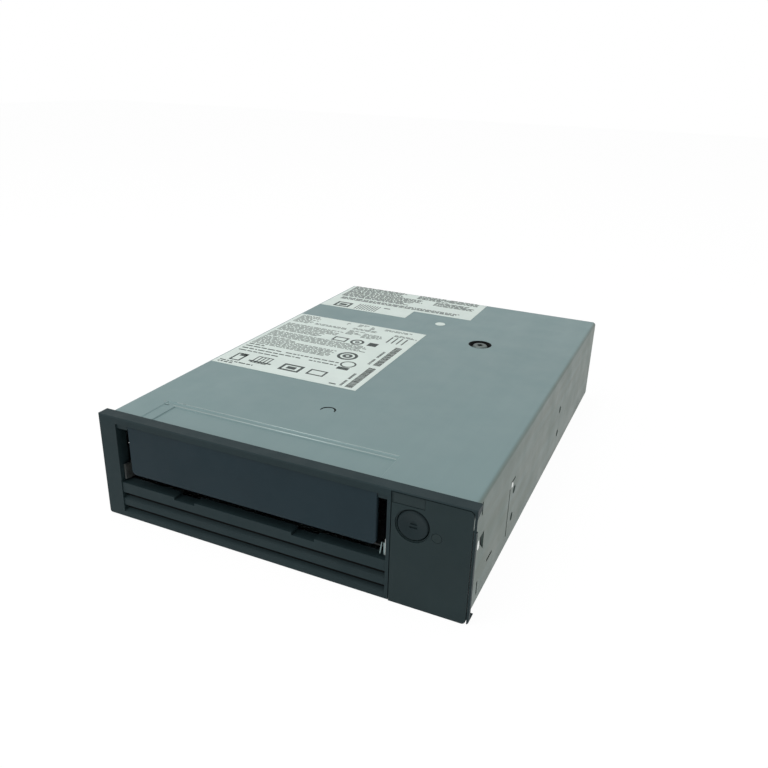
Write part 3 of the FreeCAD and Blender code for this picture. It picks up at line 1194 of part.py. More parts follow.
def tray_pins():
    """Four guide pins riveted to the outside of the tray."""
    left = [rod_x(GUIDE_PIN_R, y, PIN_Z, (-WALL_IN + PIN_END_GAP, TRAY_LEFT - TRAY_T)) for y in LEFT_PINS_Y]
    right = [rod_x(GUIDE_PIN_R, y, PIN_Z, (TRAY_RIGHT + TRAY_T, RAIL_R[1] + PIN_RIGHT_END))
             for y in RIGHT_PINS_Y]
    return Part.makeCompound(left + right)


def load_gear():
    """Compound gear: large wheel from the motor, small wheel to the rack."""
    x, y = LOAD_GEAR_X, LOAD_GEAR_Y
    wheel = gear(DRIVE_MODULE, LOAD_WHEEL_TEETH, LOAD_WHEEL_Z, x, y, MOTOR_ANGLE)
    small = gear(RACK_MODULE, RACK_TEETH_ON_GEAR, LOAD_PINION_Z, x, y, 180.0)
    hub = rod_z(LOAD_HUB_R, x, y, (LOAD_WHEEL_Z[1] - SINK, LOAD_PINION_Z[0] + SINK))
    bore = rod_z(GEAR_POST_R + RUN_FIT, x, y, (LOAD_WHEEL_Z[0] - CLEAR, LOAD_PINION_Z[1] + CLEAR))
    return cut(join(wheel, small, hub), bore)


def gear_post():
    """Post on the deck that the load gear turns on, with a shoulder under the wheel."""
    x, y = LOAD_GEAR_X, LOAD_GEAR_Y
    foot = rod_z(GEAR_POST_FOOT_R, x, y, (DECK_TOP, LOAD_WHEEL_Z[0] - SHOULDER_GAP))
    return join(foot, rod_z(GEAR_POST_R, x, y, (DECK_TOP, GEAR_POST_TOP)))


def can_motor(xy, r, top):
    """Can motor standing on the deck, with its shaft hole in the bevelled top."""
    can = bevelled(rod_z(r, *xy, (DECK_TOP, top)), MOTOR_BEVEL, lambda e: e.BoundBox.ZMin > top - SINK)
    return cut(can, rod_z(MOTOR_SHAFT_R + RUN_FIT, *xy, (top - MOTOR_SHAFT_DEPTH - SINK, top + CLEAR)))


def pinion(xy, z, motor_top, bearing, wheel_teeth):
    """Small gear moulded on its motor's shaft; the wheel it drives lies at the bearing plus half a turn."""
    first = meshing_bearing(PINION_TEETH, wheel_teeth, bearing, bearing)
    teeth = gear(DRIVE_MODULE, PINION_TEETH, z, *xy, first)
    return join(teeth, rod_z(MOTOR_SHAFT_R, *xy, (motor_top - MOTOR_SHAFT_DEPTH, z[0] + SINK)))


def load_motor():
    return can_motor(LOAD_MOTOR_XY, LOAD_MOTOR_R, LOAD_MOTOR_TOP)


def load_pinion():
    z = (LOAD_MOTOR_TOP + PINION_RISE, LOAD_WHEEL_Z[1] + PINION_OVERLAP)
    return pinion(LOAD_MOTOR_XY, z, LOAD_MOTOR_TOP, MOTOR_ANGLE, LOAD_WHEEL_TEETH)


# ---------------------------------------------------------------- reels
def flat_motor(x, y, r, top, shaft_r, shaft_top):
    """Flat stator hung under the deck by its square flange, with a fixed shaft."""
    body = rod_z(r, x, y, (BOARD_TOP + MOTOR_BOARD_GAP, top))
    half = r + MOTOR_FLANGE_W
    flange = prism("z", bevelled_outline((x - half, x + half), (y - half, y + half), MOTOR_FLANGE_BEVEL),
                   (DECK_Z - MOTOR_FLANGE_T, DECK_Z))
    return join(body, flange, rod_z(shaft_r, x, y, (top - CLEAR, shaft_top)))


def supply_motor():
    return flat_motor(BAY_X, SUPPLY_Y, SUPPLY_MOTOR_R, DECK_TOP, SUPPLY_SHAFT_R, CLUTCH_TOP - HUB_GAP)


def takeup_motor():
    return flat_motor(TAKEUP_X, TAKEUP_Y, TAKEUP_MOTOR_R, TAKEUP_MOTOR_TOP, TAKEUP_SHAFT_R,
                      REEL_TOP + TAKEUP_SHAFT_UP)


def supply_hub():
    """Clutch that lifts into the cartridge, with a ring of radial face teeth."""
    x, y = BAY_X, SUPPLY_Y
    plate = rod_z(SUPPLY_R, x, y, (HUB_BOTTOM, HUB_PLATE_TOP))
    root = HUB_PLATE_TOP - ASSEMBLY_GAP
    nose = cone_z(*NOSE_R, x, y, (root, CLUTCH_TOP))
    low, high = CLUTCH_HALF
    tip = CLUTCH_TOP - ASSEMBLY_GAP
    profile = [(-low, root), (low, root), (high, tip), (-high, tip)]
    teeth = []
    for k in range(CLUTCH_TEETH):
        tooth = prism("x", profile, (CLUTCH_IN_R, SUPPLY_R - CLUTCH_EDGE))
        tooth.rotate(V(0, 0, 0), V(0, 0, 1), 360.0 / CLUTCH_TEETH * k)
        tooth.translate(V(x, y, 0))
        teeth.append(tooth)
    bore = rod_z(SUPPLY_SHAFT_R + RUN_FIT, x, y, (HUB_BOTTOM - CLEAR, CLUTCH_TOP + CLEAR))
    return join(plate, nose, *teeth).cut(bore)


def takeup_hub():
    """Reel hub on its rotor disc, with a radial slot for the leader block."""
    x, y = TAKEUP_X, TAKEUP_Y
    low, high = REEL_LOW + FLANGE_T, REEL_TOP - FLANGE_T
    rotor = rod_z(REEL_HUB_R + ROTOR_RIM, x, y, (ROTOR_Z, REEL_LOW))
    neck = rod_z(HUB_SEAT_R, x, y, (REEL_LOW, low))
    barrel = rod_z(REEL_HUB_R, x, y, (low, high))
    spigot = rod_z(HUB_SPIGOT_R, x, y, (high, REEL_TOP))
    slot = box((x + HUB_SLOT_IN, x + REEL_HUB_R + CLEAR), (y - HUB_SLOT_HALF, y + HUB_SLOT_HALF), (low, high))
    bore = rod_z(TAKEUP_SHAFT_R + RUN_FIT, x, y, (ROTOR_Z - CLEAR, REEL_TOP + CLEAR))
    return cut(join(rotor, neck, barrel, spigot), slot, bore)


def takeup_flange_lower():
    return ring_z(REEL_R, HUB_SEAT_R, TAKEUP_X, TAKEUP_Y, (REEL_LOW, REEL_LOW + FLANGE_T))


def takeup_flange_upper():
    """Upper flange with sight windows, cut away over the hub's slot so that the leader block can pass."""
    z = (REEL_TOP - FLANGE_T, REEL_TOP)
    through = (z[0] - CLEAR, z[1] + CLEAR)
    disc = ring_z(REEL_R, HUB_SPIGOT_R, TAKEUP_X, TAKEUP_Y, z)
    step = 360.0 / FLANGE_WINDOWS
    places = [around(TAKEUP_X, TAKEUP_Y, FLANGE_WINDOW_AT, step * (k + 1 / 2)) for k in range(FLANGE_WINDOWS)]
    windows = [rod_z(FLANGE_WINDOW_R, *place, through) for place in places]
    slot = box((TAKEUP_X + HUB_SPIGOT_R + CLEAR, TAKEUP_X + REEL_R + CLEAR),
               (TAKEUP_Y - FLANGE_SLOT_HALF, TAKEUP_Y + FLANGE_SLOT_HALF), through)
    return cut(disc, slot, *windows)


# ---------------------------------------------------------------- tape path
def guide_roller(xy):
    """Spool-shaped roller with thin rims above and below the tape."""
    low, high = REEL_LOW, REEL_TOP
    body = rod_z(ROLLER_R, *xy, (low, high))
    rims = [rod_z(ROLLER_RIM_R, *xy, z) for z in ((low, low + ROLLER_RIM_T), (high - ROLLER_RIM_T, high))]
    return join(body, *rims).cut(rod_z(ROLLER_PIN_R + RUN_FIT, *xy, (low - CLEAR, high + CLEAR)))


def roller_posts():
    """Hexagonal pillars with a pin on top, one under each roller."""
    posts = []
    for xy in ROLLERS:
        foot = prism("z", star(*xy, (ROLLER_FOOT_R,), PILLAR_SIDES), (DECK_TOP, REEL_LOW - SHOULDER_GAP))
        pin = rod_z(ROLLER_PIN_R, *xy, (REEL_LOW - SHOULDER_GAP, REEL_TOP + ROLLER_PIN_UP))
        posts.append(join(foot, pin))
    return Part.makeCompound(posts)


def push_clip(r, x, y, low):
    """Forked clip pushed onto a pin from the side."""
    half = r + CLIP_W
    z = (low, low + CLIP_T)
    mouth = join(rod_z(r, x, y, z), box((x - r, x + r), (y, y + half), z))
    return block(x, y, z, half).cut(mouth)


def retaining_clips():
    """Forked clips that keep the rollers, the load gear and the threading arm on their pins."""
    clips = [push_clip(ROLLER_PIN_R, *xy, REEL_TOP + CLIP_GAP) for xy in ROLLERS]
    clips.append(push_clip(GEAR_POST_R, LOAD_GEAR_X, LOAD_GEAR_Y, LOAD_PINION_Z[1] + CLIP_GAP))
    clips.append(push_clip(STUD_R, PIVOT_X, PIVOT_Y, THREAD_WHEEL_Z[0] - CLIP_GAP - CLIP_T))
    return Part.makeCompound(clips)


def head_base():
    """C-shaped bracket with an upright guide rod for the head carriage."""
    x = (HEAD_BACK_X, HEAD_FACE_X - BRIDGE_INSET)
    y = (HEAD_Y - HEAD_HALF, HEAD_Y + HEAD_HALF)
    foot = box(x, y, (DECK_TOP, DECK_TOP + BRIDGE_T))
    back = box((x[0], x[0] + BRACKET_T), y, (DECK_TOP, HEAD_TOP))
    bridge = box(x, y, (HEAD_TOP - BRIDGE_T, HEAD_TOP))
    rod = rod_z(SCREW_R, *GUIDE_ROD_XY, (DECK_TOP + BRIDGE_T, HEAD_TOP - BRIDGE_T))
    bore = rod_z(SCREW_R + RUN_FIT, *LEAD_SCREW_XY, (DECK_TOP - CLEAR, HEAD_TOP + CLEAR))
    return join(foot, back, bridge, rod).cut(bore)


def head_carriage():
    """Block that climbs on the lead screw and the guide rod."""
    x = (HEAD_BACK_X + CARRIAGE_BACK, HEAD_FACE_X - HEAD_BLOCK_T)
    y = (HEAD_Y - HEAD_HALF + CARRIAGE_SIDE, HEAD_Y + HEAD_HALF - CARRIAGE_SIDE)
    z = (TAPE_Z - CARRIAGE_HALF_Z, TAPE_Z + CARRIAGE_HALF_Z)
    through = (z[0] - CLEAR, z[1] + CLEAR)
    body = prism("z", bevelled_outline(x, y, CARRIAGE_BEVEL), z)
    channel_y = (HEAD_Y - CHANNEL_HALF, HEAD_Y + CHANNEL_HALF)
    channel = box((x[1] - CHANNEL_DEPTH, x[1] + CLEAR), channel_y, through)
    bores = [rod_z(SCREW_R + RUN_FIT, *xy, through) for xy in (LEAD_SCREW_XY, GUIDE_ROD_XY)]
    return cut(body, channel, *bores)


def read_write_head():
    """Two lapped head modules side by side on the carriage's face."""
    x = (HEAD_FACE_X - HEAD_BLOCK_T, HEAD_FACE_X)
    z = (TAPE_Z - CARRIAGE_HALF_Z + HEAD_INSET_Z, TAPE_Z + CARRIAGE_HALF_Z - HEAD_INSET_Z)
    plate = box((x[0], x[0] + HEAD_PLATE_T), (HEAD_Y - HEAD_PLATE_HALF, HEAD_Y + HEAD_PLATE_HALF), z)
    modules = []
    for side in (-1, 1):
        near, far = sorted(HEAD_Y + side * d for d in HEAD_MODULES)
        root = x[0] + HEAD_PLATE_T - SINK
        modules.append(prism("z", [(root, near), (x[1] - HEAD_BEVEL, near), (x[1], near + HEAD_BEVEL),
                                   (x[1], far - HEAD_BEVEL), (x[1] - HEAD_BEVEL, far), (root, far)], z))
    return join(plate, *modules)


def lead_screw():
    """Upright screw that lifts the head, as a plain shaft between its bearings."""
    return rod_z(SCREW_R, *LEAD_SCREW_XY, (DECK_Z - SCREW_FOOT, HEAD_TOP - SCREW_END_GAP))


def head_stepper():
    """Flat stepper under the deck that turns the lead screw."""
    body = rod_z(STEPPER_R, *LEAD_SCREW_XY, (BOARD_TOP + MOTOR_BOARD_GAP, DECK_Z))
    bore_z = (DECK_Z - SCREW_FOOT - ASSEMBLY_GAP, DECK_Z + CLEAR)
    return body.cut(rod_z(SCREW_R + RUN_FIT, *LEAD_SCREW_XY, bore_z))


# ---------------------------------------------------------------- threading arm
def thread_pivot():
    """Stud under the cover's well that the threading arm swings on."""
    cap = rod_z(STUD_CAP_R, PIVOT_X, PIVOT_Y, (ARM_TOP + STUD_CAP_GAP, STUD_Z[1]))
    stud = join(rod_z(STUD_R, PIVOT_X, PIVOT_Y, STUD_Z), cap)
    return stud.cut(rod_z(COVER_SCREW_R, PIVOT_X, PIVOT_Y, (STUD_Z[0] + STUD_TAP_FLOOR, STUD_Z[1] + CLEAR)))


def arm_edge(radius, offset):
    """Point at a distance along the arm and to its side."""
    x, y = around(PIVOT_X, PIVOT_Y, radius, ARM_ANGLE)
    return around(x, y, offset, ARM_ANGLE + 90.0)


def tapered(start, end, half_start, half_end, z):
    """Tapered bar along the arm."""
    return prism("z", [arm_edge(start, half_start), arm_edge(end, half_end), arm_edge(end, -half_end),
                       arm_edge(start, -half_start)], z)


def thread_arm():
    """Tapered arm with a lightening slot, from the pivot out to the leader block."""
    z = (ARM_Z, ARM_TOP)
    through = (ARM_Z - CLEAR, ARM_TOP + CLEAR)
    blade = tapered(0, ARM_R, *ARM_HALF, z)
    eye = rod_z(ARM_EYE_R, PIVOT_X, PIVOT_Y, z)
    tip = rod_z(ARM_HALF[1], *ARM_START, z)
    return cut(join(blade, eye, tip), tapered(*ARM_SLOT, *ARM_SLOT_HALF, through),
               rod_z(STUD_R + RUN_FIT, PIVOT_X, PIVOT_Y, through), rod_z(LEADER_RIVET_R, *ARM_START, through))


def thread_gear():
    wheel = gear(DRIVE_MODULE, THREAD_WHEEL_TEETH, THREAD_WHEEL_Z, PIVOT_X, PIVOT_Y, THREAD_MOTOR_ANGLE)
    boss = rod_z(THREAD_BOSS_R, PIVOT_X, PIVOT_Y, (THREAD_WHEEL_Z[1] - ASSEMBLY_GAP, ARM_Z))
    bore = rod_z(STUD_R + RUN_FIT, PIVOT_X, PIVOT_Y, (THREAD_WHEEL_Z[0] - CLEAR, ARM_TOP))
    return join(wheel, boss).cut(bore)


def leader_block():
    """Block that hooks the tape's leader pin, hung from the arm by a rivet."""
    x, y = ARM_START
    z = (TAPE_Z - TAPE_W / 2 + LEADER_LIFT, TAPE_Z + TAPE_W / 2)
    hook = box((x - LEADER_HOOK_HALF, x + LEADER_HOOK_HALF),
               (y - LEADER_HOOK_DEPTH, y + LEADER_HOOK_HALF / 2),
               (z[0] + LEADER_HOOK_MARGIN, z[1] - LEADER_HOOK_MARGIN))
    stem = rod_z(LEADER_STEM_R, x, y, (z[1] - HOOK_ROOT, ARM_Z))
    rivet = rod_z(LEADER_RIVET_R, x, y, (z[1], ARM_TOP + ASSEMBLY_GAP))
    return join(rod_z(LEADER_R, x, y, z), stem, rivet).cut(hook)


def thread_motor():
    return can_motor(THREAD_MOTOR_XY, THREAD_MOTOR_R, THREAD_MOTOR_TOP)


def thread_pinion():
    z = (THREAD_WHEEL_Z[0] - PINION_OVERLAP, THREAD_WHEEL_Z[1])
    return pinion(THREAD_MOTOR_XY, z, THREAD_MOTOR_TOP, THREAD_MOTOR_ANGLE, THREAD_WHEEL_TEETH)


# ---------------------------------------------------------------- every piece
PIECES = [bezel_frame, door_pins, door, control_panel, status_window, status_lens, eject_button,
          front_board, button_switch, status_lamp, base_frame, top_cover, cover_screw, main_label,
          rear_label, cover_sticker, rear_panel, host_connector, library_port, deck_plate, logic_board,
          board_components, chip_heatsink, reader_board, tray_sensor, guide_rail_left, guide_rail_right,
          slider_left, slider_right, cartridge_tray, tray_pins, load_gear, gear_post, load_pinion,
          load_motor, supply_motor, takeup_motor, supply_hub, takeup_hub, takeup_flange_lower,
          takeup_flange_upper, roller_posts, retaining_clips, head_base, head_carriage, read_write_head,
          lead_screw, head_stepper, thread_pivot, thread_arm, thread_gear, leader_block, thread_motor,
          thread_pinion]


def main():
    os.makedirs("parts", exist_ok=True)
    for piece in PIECES:
        save(piece.__name__, piece())
    for number, xy in enumerate(ROLLERS, 1):
        save("guide_roller_%d" % number, guide_roller(xy))


main()
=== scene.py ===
"""Looks for the half-height data tape drive: materials, printed labels, small details, light and camera."""
import json
import math
import random

import bmesh
import bpy
from mathutils import Matrix, Vector


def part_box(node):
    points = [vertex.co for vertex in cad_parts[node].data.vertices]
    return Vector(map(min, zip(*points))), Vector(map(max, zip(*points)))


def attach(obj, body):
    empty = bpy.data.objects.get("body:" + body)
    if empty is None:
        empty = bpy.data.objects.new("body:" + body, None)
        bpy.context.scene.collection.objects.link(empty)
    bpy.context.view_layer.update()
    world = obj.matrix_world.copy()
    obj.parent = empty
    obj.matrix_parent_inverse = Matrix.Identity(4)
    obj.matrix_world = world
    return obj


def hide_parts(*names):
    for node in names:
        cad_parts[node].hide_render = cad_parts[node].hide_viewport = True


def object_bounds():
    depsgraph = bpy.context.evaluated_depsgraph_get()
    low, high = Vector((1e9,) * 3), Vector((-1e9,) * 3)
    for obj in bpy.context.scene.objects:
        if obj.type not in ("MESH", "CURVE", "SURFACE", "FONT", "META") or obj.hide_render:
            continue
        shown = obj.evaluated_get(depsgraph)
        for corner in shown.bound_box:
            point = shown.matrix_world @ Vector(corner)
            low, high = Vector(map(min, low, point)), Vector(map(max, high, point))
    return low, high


MM = 0.001
WHITE = (1.0, 1.0, 1.0)
BEND_FROM, BEND_TO = 0.0718, 0.0729      # where the cover's top bends into its sides, metres from the middle
NOISE_LOW, NOISE_HIGH = 0.3, 0.7         # the part of a noise's range that it mostly keeps to
WHITE_RAYS = ("Is Camera Ray", "Is Glossy Ray", "Is Transmission Ray")      # rays that see plain white

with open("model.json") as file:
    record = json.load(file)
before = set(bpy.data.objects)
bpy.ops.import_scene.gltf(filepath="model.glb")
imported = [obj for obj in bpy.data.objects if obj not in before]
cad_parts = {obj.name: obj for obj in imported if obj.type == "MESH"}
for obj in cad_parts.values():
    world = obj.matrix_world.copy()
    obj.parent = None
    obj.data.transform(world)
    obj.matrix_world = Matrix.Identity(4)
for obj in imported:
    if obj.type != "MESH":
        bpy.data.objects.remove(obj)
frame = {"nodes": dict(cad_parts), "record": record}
cad_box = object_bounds()
nodes = frame["nodes"]
scene = bpy.context.scene
scene.view_settings.view_transform = "Standard"


# ---------------------------------------------------------------- material helpers
def srgb(r, g, b):
    """Linear colour of an sRGB colour given in 0-255 steps, by the standard's own curve."""
    def linear(c):
        c /= 255.0
        return c / 12.92 if c <= 0.04045 else ((c + 0.055) / 1.055) ** 2.4
    return linear(r), linear(g), linear(b), 1.0


def scaled(colour, factor):
    """A lighter or darker form of a colour."""
    return tuple(min(1.0, c * factor) for c in colour[:3]) + (1.0,)


class Maker:
    """A material under construction, with object coordinates in metres ready for its textures."""

    def __init__(self, name, metallic=0.0, roughness=0.5, specular=0.5):
        self.material = bpy.data.materials.new(name)
        self.material.use_nodes = True
        self.tree = self.material.node_tree
        self.shader = self.tree.nodes["Principled BSDF"]
        self.shader.inputs["Metallic"].default_value = metallic
        self.shader.inputs["Roughness"].default_value = roughness
        self.shader.inputs["Specular IOR Level"].default_value = specular
        self.coordinates = self.tree.nodes.new("ShaderNodeTexCoord").outputs["Object"]

    def node(self, kind, **values):
        made = self.tree.nodes.new(kind)
        for key, value in values.items():
            setattr(made, key, value)
        return made

    def link(self, source, target):
        self.tree.links.new(source, target)

    def stretched(self, scale):
        mapping = self.node("ShaderNodeMapping")
        mapping.inputs["Scale"].default_value = scale
        self.link(self.coordinates, mapping.inputs["Vector"])
        return mapping.outputs["Vector"]

    def noise(self, scale, detail=3.0, roughness=0.55, vector=None):
        made = self.node("ShaderNodeTexNoise")
        made.inputs["Scale"].default_value = scale
        made.inputs["Detail"].default_value = detail
        made.inputs["Roughness"].default_value = roughness
        self.link(vector or self.coordinates, made.inputs["Vector"])
        return made.outputs["Fac"]

    def ramp(self, source, stops):
        made = self.node("ShaderNodeValToRGB")
        elements = made.color_ramp.elements
        while len(elements) < len(stops):
            elements.new(0.5)
        for element, (place, colour) in zip(elements, stops):
            element.position = place
            element.color = colour if len(colour) == 4 else tuple(colour) + (1.0,)
        self.link(source, made.inputs["Fac"])
        return made.outputs["Color"]

    def mix(self, factor, first, second):
        made = self.node("ShaderNodeMix", data_type="RGBA")
        for key, value in (("Factor", factor), ("A", first), ("B", second)):
            socket = next(s for s in made.inputs if s.name == key and s.enabled)
            if isinstance(value, (float, tuple)):
                socket.default_value = value
            else:
                self.link(value, socket)
        return next(s for s in made.outputs if s.enabled)

    def map_range(self, source, low, high, to_low, to_high):
        made = self.node("ShaderNodeMapRange")
        for key, value in (("From Min", low), ("From Max", high), ("To Min", to_low), ("To Max", to_high)):
            made.inputs[key].default_value = value
        self.link(source, made.inputs["Value"])
        return made.outputs["Result"]

    def away_from_middle(self, start, end):
        """Zero up to one distance from the middle plane along X, one past the other."""
        split = self.node("ShaderNodeSeparateXYZ")
        self.link(self.coordinates, split.inputs[0])
        distance = self.node("ShaderNodeMath", operation="ABSOLUTE")
        self.link(split.outputs["X"], distance.inputs[0])
        return self.map_range(distance.outputs[0], start, end, 0.0, 1.0)

    def tinted(self, source, colour, darkest, lightest):
        """Colour that swings between two shares of a middle one, after a noise."""
        stops = [(NOISE_LOW, scaled(colour, darkest)), (NOISE_HIGH, scaled(colour, lightest))]
        return self.ramp(source, stops)

    def colour(self, source):
        self.link(source, self.shader.inputs["Base Color"])

    def uneven(self, source, smoothest, roughest):
        """Roughness between two values, after a noise."""
        spread = self.map_range(source, NOISE_LOW, NOISE_HIGH, smoothest, roughest)
        self.link(spread, self.shader.inputs["Roughness"])

    def bump(self, height, distance, strength=1.0):
        made = self.node("ShaderNodeBump")
        made.inputs["Distance"].default_value = distance
        made.inputs["Strength"].default_value = strength
        self.link(height, made.inputs["Height"])
        self.link(made.outputs["Normal"], self.shader.inputs["Normal"])


def moulded_plastic(name, colour, grain=0.000035, roughness=0.55, specular=0.14):
    """Fine spark-eroded texture with faint cloudiness."""
    m = Maker(name, roughness=roughness, specular=specular)
    m.colour(m.tinted(m.noise(38.0, 4.0), colour, 0.92, 1.08))
    m.uneven(m.noise(120.0), roughness - 0.05, roughness + 0.07)
    m.bump(m.noise(5200.0, 2.0), grain, 0.35)
    return m.material


def coated_steel(name, colour, roughness=0.45, metallic=0.15, side_shade_colour=None):
    """Zinc-coated sheet under a thin grey-green finish: faint rolling streaks and cloudy spangle. A side
    colour, when given, is painted on the sides past the bend as painted shade.
    """
    m = Maker(name, metallic=metallic, roughness=roughness, specular=0.25)
    streaks = m.noise(30.0, 3.0, vector=m.stretched((9.0, 0.6, 9.0)))
    cloud = m.noise(16.0, 4.0)
    base = m.tinted(cloud, colour, 0.965, 1.035)
    if side_shade_colour:
        shaded_flank = m.tinted(cloud, side_shade_colour, 0.93, 1.05)
        # painted shade: past the bend the sides take the darker side colour
        base = m.mix(m.away_from_middle(BEND_FROM, BEND_TO), base, shaded_flank)
    m.colour(m.mix(m.map_range(streaks, NOISE_LOW, NOISE_HIGH, 0.0, 0.35), base, scaled(colour, 0.94)))
    m.uneven(m.noise(70.0), roughness - 0.05, roughness + 0.06)
    m.bump(m.noise(2600.0, 2.0), 0.00002, 0.25)
    return m.material


def bare_metal(name, colour, roughness=0.3, direction=(1.0, 14.0, 14.0), grain=0.000012):
    """Machined or rolled metal with brush lines along one direction."""
    m = Maker(name, metallic=1.0, roughness=roughness)
    lines = m.noise(160.0, 4.0, vector=m.stretched(direction))
    m.colour(m.tinted(lines, colour, 0.86, 1.08))
    m.uneven(lines, roughness - 0.07, roughness + 0.09)
    m.bump(lines, grain, 0.4)
    return m.material


def cast_metal(name, colour):
    """Die-cast aluminium: matt skin with flow marks."""
    m = Maker(name, metallic=0.85, roughness=0.5)
    flow = m.noise(55.0, 5.0, vector=m.stretched((1.0, 0.5, 2.0)))
    m.colour(m.tinted(flow, colour, 0.82, 1.06))
    m.uneven(flow, 0.42, 0.60)
    m.bump(m.noise(1500.0, 3.0), 0.00003, 0.4)
    return m.material


def smooth_plastic(name, colour, roughness=0.35, specular=0.3):
    """Plain injection-moulded plastic with a faint sheen variation."""
    m = Maker(name, roughness=roughness, specular=specular)
    m.colour(m.tinted(m.noise(60.0), colour, 0.93, 1.05))
    m.uneven(m.noise(200.0), roughness - 0.05, roughness + 0.08)
    m.bump(m.noise(1800.0), 0.00001, 0.3)
    return m.material


def label_film(name, colour):
    """Polyester label: white, faintly mottled, with a satin face."""
    m = Maker(name, roughness=0.42, specular=0.4)
    m.colour(m.tinted(m.noise(90.0), colour, 0.965, 1.02))
    m.uneven(m.noise(150.0), 0.36, 0.50)
    m.bump(m.noise(900.0), 0.000006, 0.3)
    return m.material


def printing_ink(name, colour):
    """Thin ink whose cover varies from spot to spot."""
    m = Maker(name, roughness=0.55, specular=0.3)
    m.colour(m.tinted(m.noise(900.0, 2.0), colour, 0.8, 1.35))
    return m.material


def solder_mask(name, colour):
    """Board lacquer with faint tracks showing through."""
    m = Maker(name, roughness=0.35)
    brick = m.node("ShaderNodeTexBrick")
    brick.inputs["Scale"].default_value = 320.0
    brick.inputs["Color1"].default_value = colour
    brick.inputs["Color2"].default_value = scaled(colour, 1.25)
    brick.inputs["Mortar"].default_value = scaled(colour, 1.8)
    brick.inputs["Mortar Size"].default_value = 0.035
    m.link(m.coordinates, brick.inputs["Vector"])
    m.colour(brick.outputs["Color"])
    m.uneven(m.noise(240.0), 0.30, 0.45)
    return m.material


# ---------------------------------------------------------------- materials by slot
GREY_GREEN = srgb(124, 147, 148)
# darker, less green copy of the top's colour, painted on the cover's sides as painted shade
SIDE_SHADE_GREY = srgb(103, 115, 107)
CHARCOAL = srgb(36, 51, 54)
PANEL_GREY = srgb(39, 53, 55)
INK = srgb(58, 68, 66)
DARK_INK = srgb(46, 55, 53)

finishes = {
    "bezel_plastic": moulded_plastic("bezel_plastic", CHARCOAL),
    "door_plastic": moulded_plastic("door_plastic", srgb(30, 47, 54), roughness=0.5),
    "panel_plastic": moulded_plastic("panel_plastic", PANEL_GREY),
    "button_plastic": moulded_plastic("button_plastic", srgb(28, 42, 45), roughness=0.42),
    "smoked_window": smooth_plastic("smoked_window", PANEL_GREY, 0.4, 0.16),
    "lamp_lens": smooth_plastic("lamp_lens", srgb(40, 54, 55), 0.42, 0.14),
    "cover_steel": coated_steel("cover_steel", GREY_GREEN, side_shade_colour=SIDE_SHADE_GREY),
    "cast_metal": cast_metal("cast_metal", srgb(150, 154, 152)),
    "machined_metal": bare_metal("machined_metal", srgb(176, 178, 178)),
    "sheet_steel": bare_metal("sheet_steel", srgb(168, 172, 170), 0.34),
    "bright_steel": bare_metal("bright_steel", srgb(196, 198, 198), 0.2, (6.0, 6.0, 1.0)),
    "label_film": label_film("label_film", srgb(222, 235, 229)),
    "board_green": solder_mask("board_green", srgb(20, 74, 46)),
    "chip_black": smooth_plastic("chip_black", srgb(32, 32, 34), 0.5),
    "connector_black": smooth_plastic("connector_black", srgb(30, 31, 33), 0.4),
    "gear_plastic": smooth_plastic("gear_plastic", srgb(222, 218, 204), 0.4),
    "reel_plastic": smooth_plastic("reel_plastic", srgb(196, 202, 204), 0.25),
    "clip_steel": bare_metal("clip_steel", srgb(110, 110, 108), 0.3),
    "head_ceramic": smooth_plastic("head_ceramic", srgb(74, 62, 54), 0.15),
    "drive_brass": bare_metal("drive_brass", srgb(200, 164, 92), 0.25, (5.0, 5.0, 1.0)),
}

for part in frame["record"]["subparts"]:
    body = nodes[part["node"]]
    body.data.materials.clear()
    body.data.materials.append(finishes[part["material_slot"]])


# ---------------------------------------------------------------- places and mesh helpers
frame_low, frame_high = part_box("base_frame")
ORIGIN = Vector((0.0, frame_low[1], frame_low[2]))      # middle of the chassis, at its front lower edge


def at(x, y, z):
    """Place given in millimetres from the middle, the front and the underside of the chassis."""
    return ORIGIN + Vector((x, y, z)) * MM


cover_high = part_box("top_cover")[1]
COVER_EDGE = cover_high[0]                              # the cover's right side, in metres
COVER_FACE = (cover_high[2] - ORIGIN.z) / MM            # the cover's top, in millimetres as at() takes it


def round_step(k, count):
    """Cosine and sine of one of the even steps round a circle."""
    angle = 2 * math.pi * k / count
    return math.cos(angle), math.sin(angle)


def add_box(mesh, low_corner, high_corner):
    """Closed box between two corners, in metres."""
    xs, ys, zs = zip(low_corner, high_corner)
    corners = [mesh.verts.new((x, y, z)) for z in zs for y in ys for x in xs]
    for face in ((0, 2, 3, 1), (4, 5, 7, 6), (0, 1, 5, 4), (2, 6, 7, 3), (0, 4, 6, 2), (1, 3, 7, 5)):
        mesh.faces.new([corners[k] for k in face])


def add_tube(mesh, rings, closed=False):
    """Skin through rings of points, capped at both ends unless it closes on itself."""
    made = [[mesh.verts.new(point) for point in ring] for ring in rings]
    count = len(made[0])
    last = len(made) if closed else len(made) - 1
    for j in range(last):
        near, far = made[j], made[(j + 1) % len(made)]
        for k in range(count):
            mesh.faces.new((near[k], near[(k + 1) % count], far[(k + 1) % count], far[k]))
    if not closed:
        mesh.faces.new(made[0])
        mesh.faces.new(made[-1])


def piece_from(mesh, name, body, material, smooth=False):
    """Finished object from a bmesh, riding on a body, with the given name and material."""
    bmesh.ops.recalc_face_normals(mesh, faces=mesh.faces)
    data = bpy.data.meshes.new(name)
    mesh.to_mesh(data)
    mesh.free()
    for polygon in data.polygons:
        polygon.use_smooth = smooth
    made = bpy.data.objects.new(name, data)
    scene.collection.objects.link(made)
    data.materials.append(material)
    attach(made, body)
    return made


# ---------------------------------------------------------------- printing on the labels
WORD_L = (1.0, 4.2)          # shortest and longest word, in millimetres like all the sizes printed
WORD_GAP = 0.6
RAGGED = 5.0                 # most that a row stays short of the right edge
CROSS_BAR = (0.30, 0.95)     # thinnest and thickest cross bar of a strip
CROSS_GAP = (0.18, 0.34)


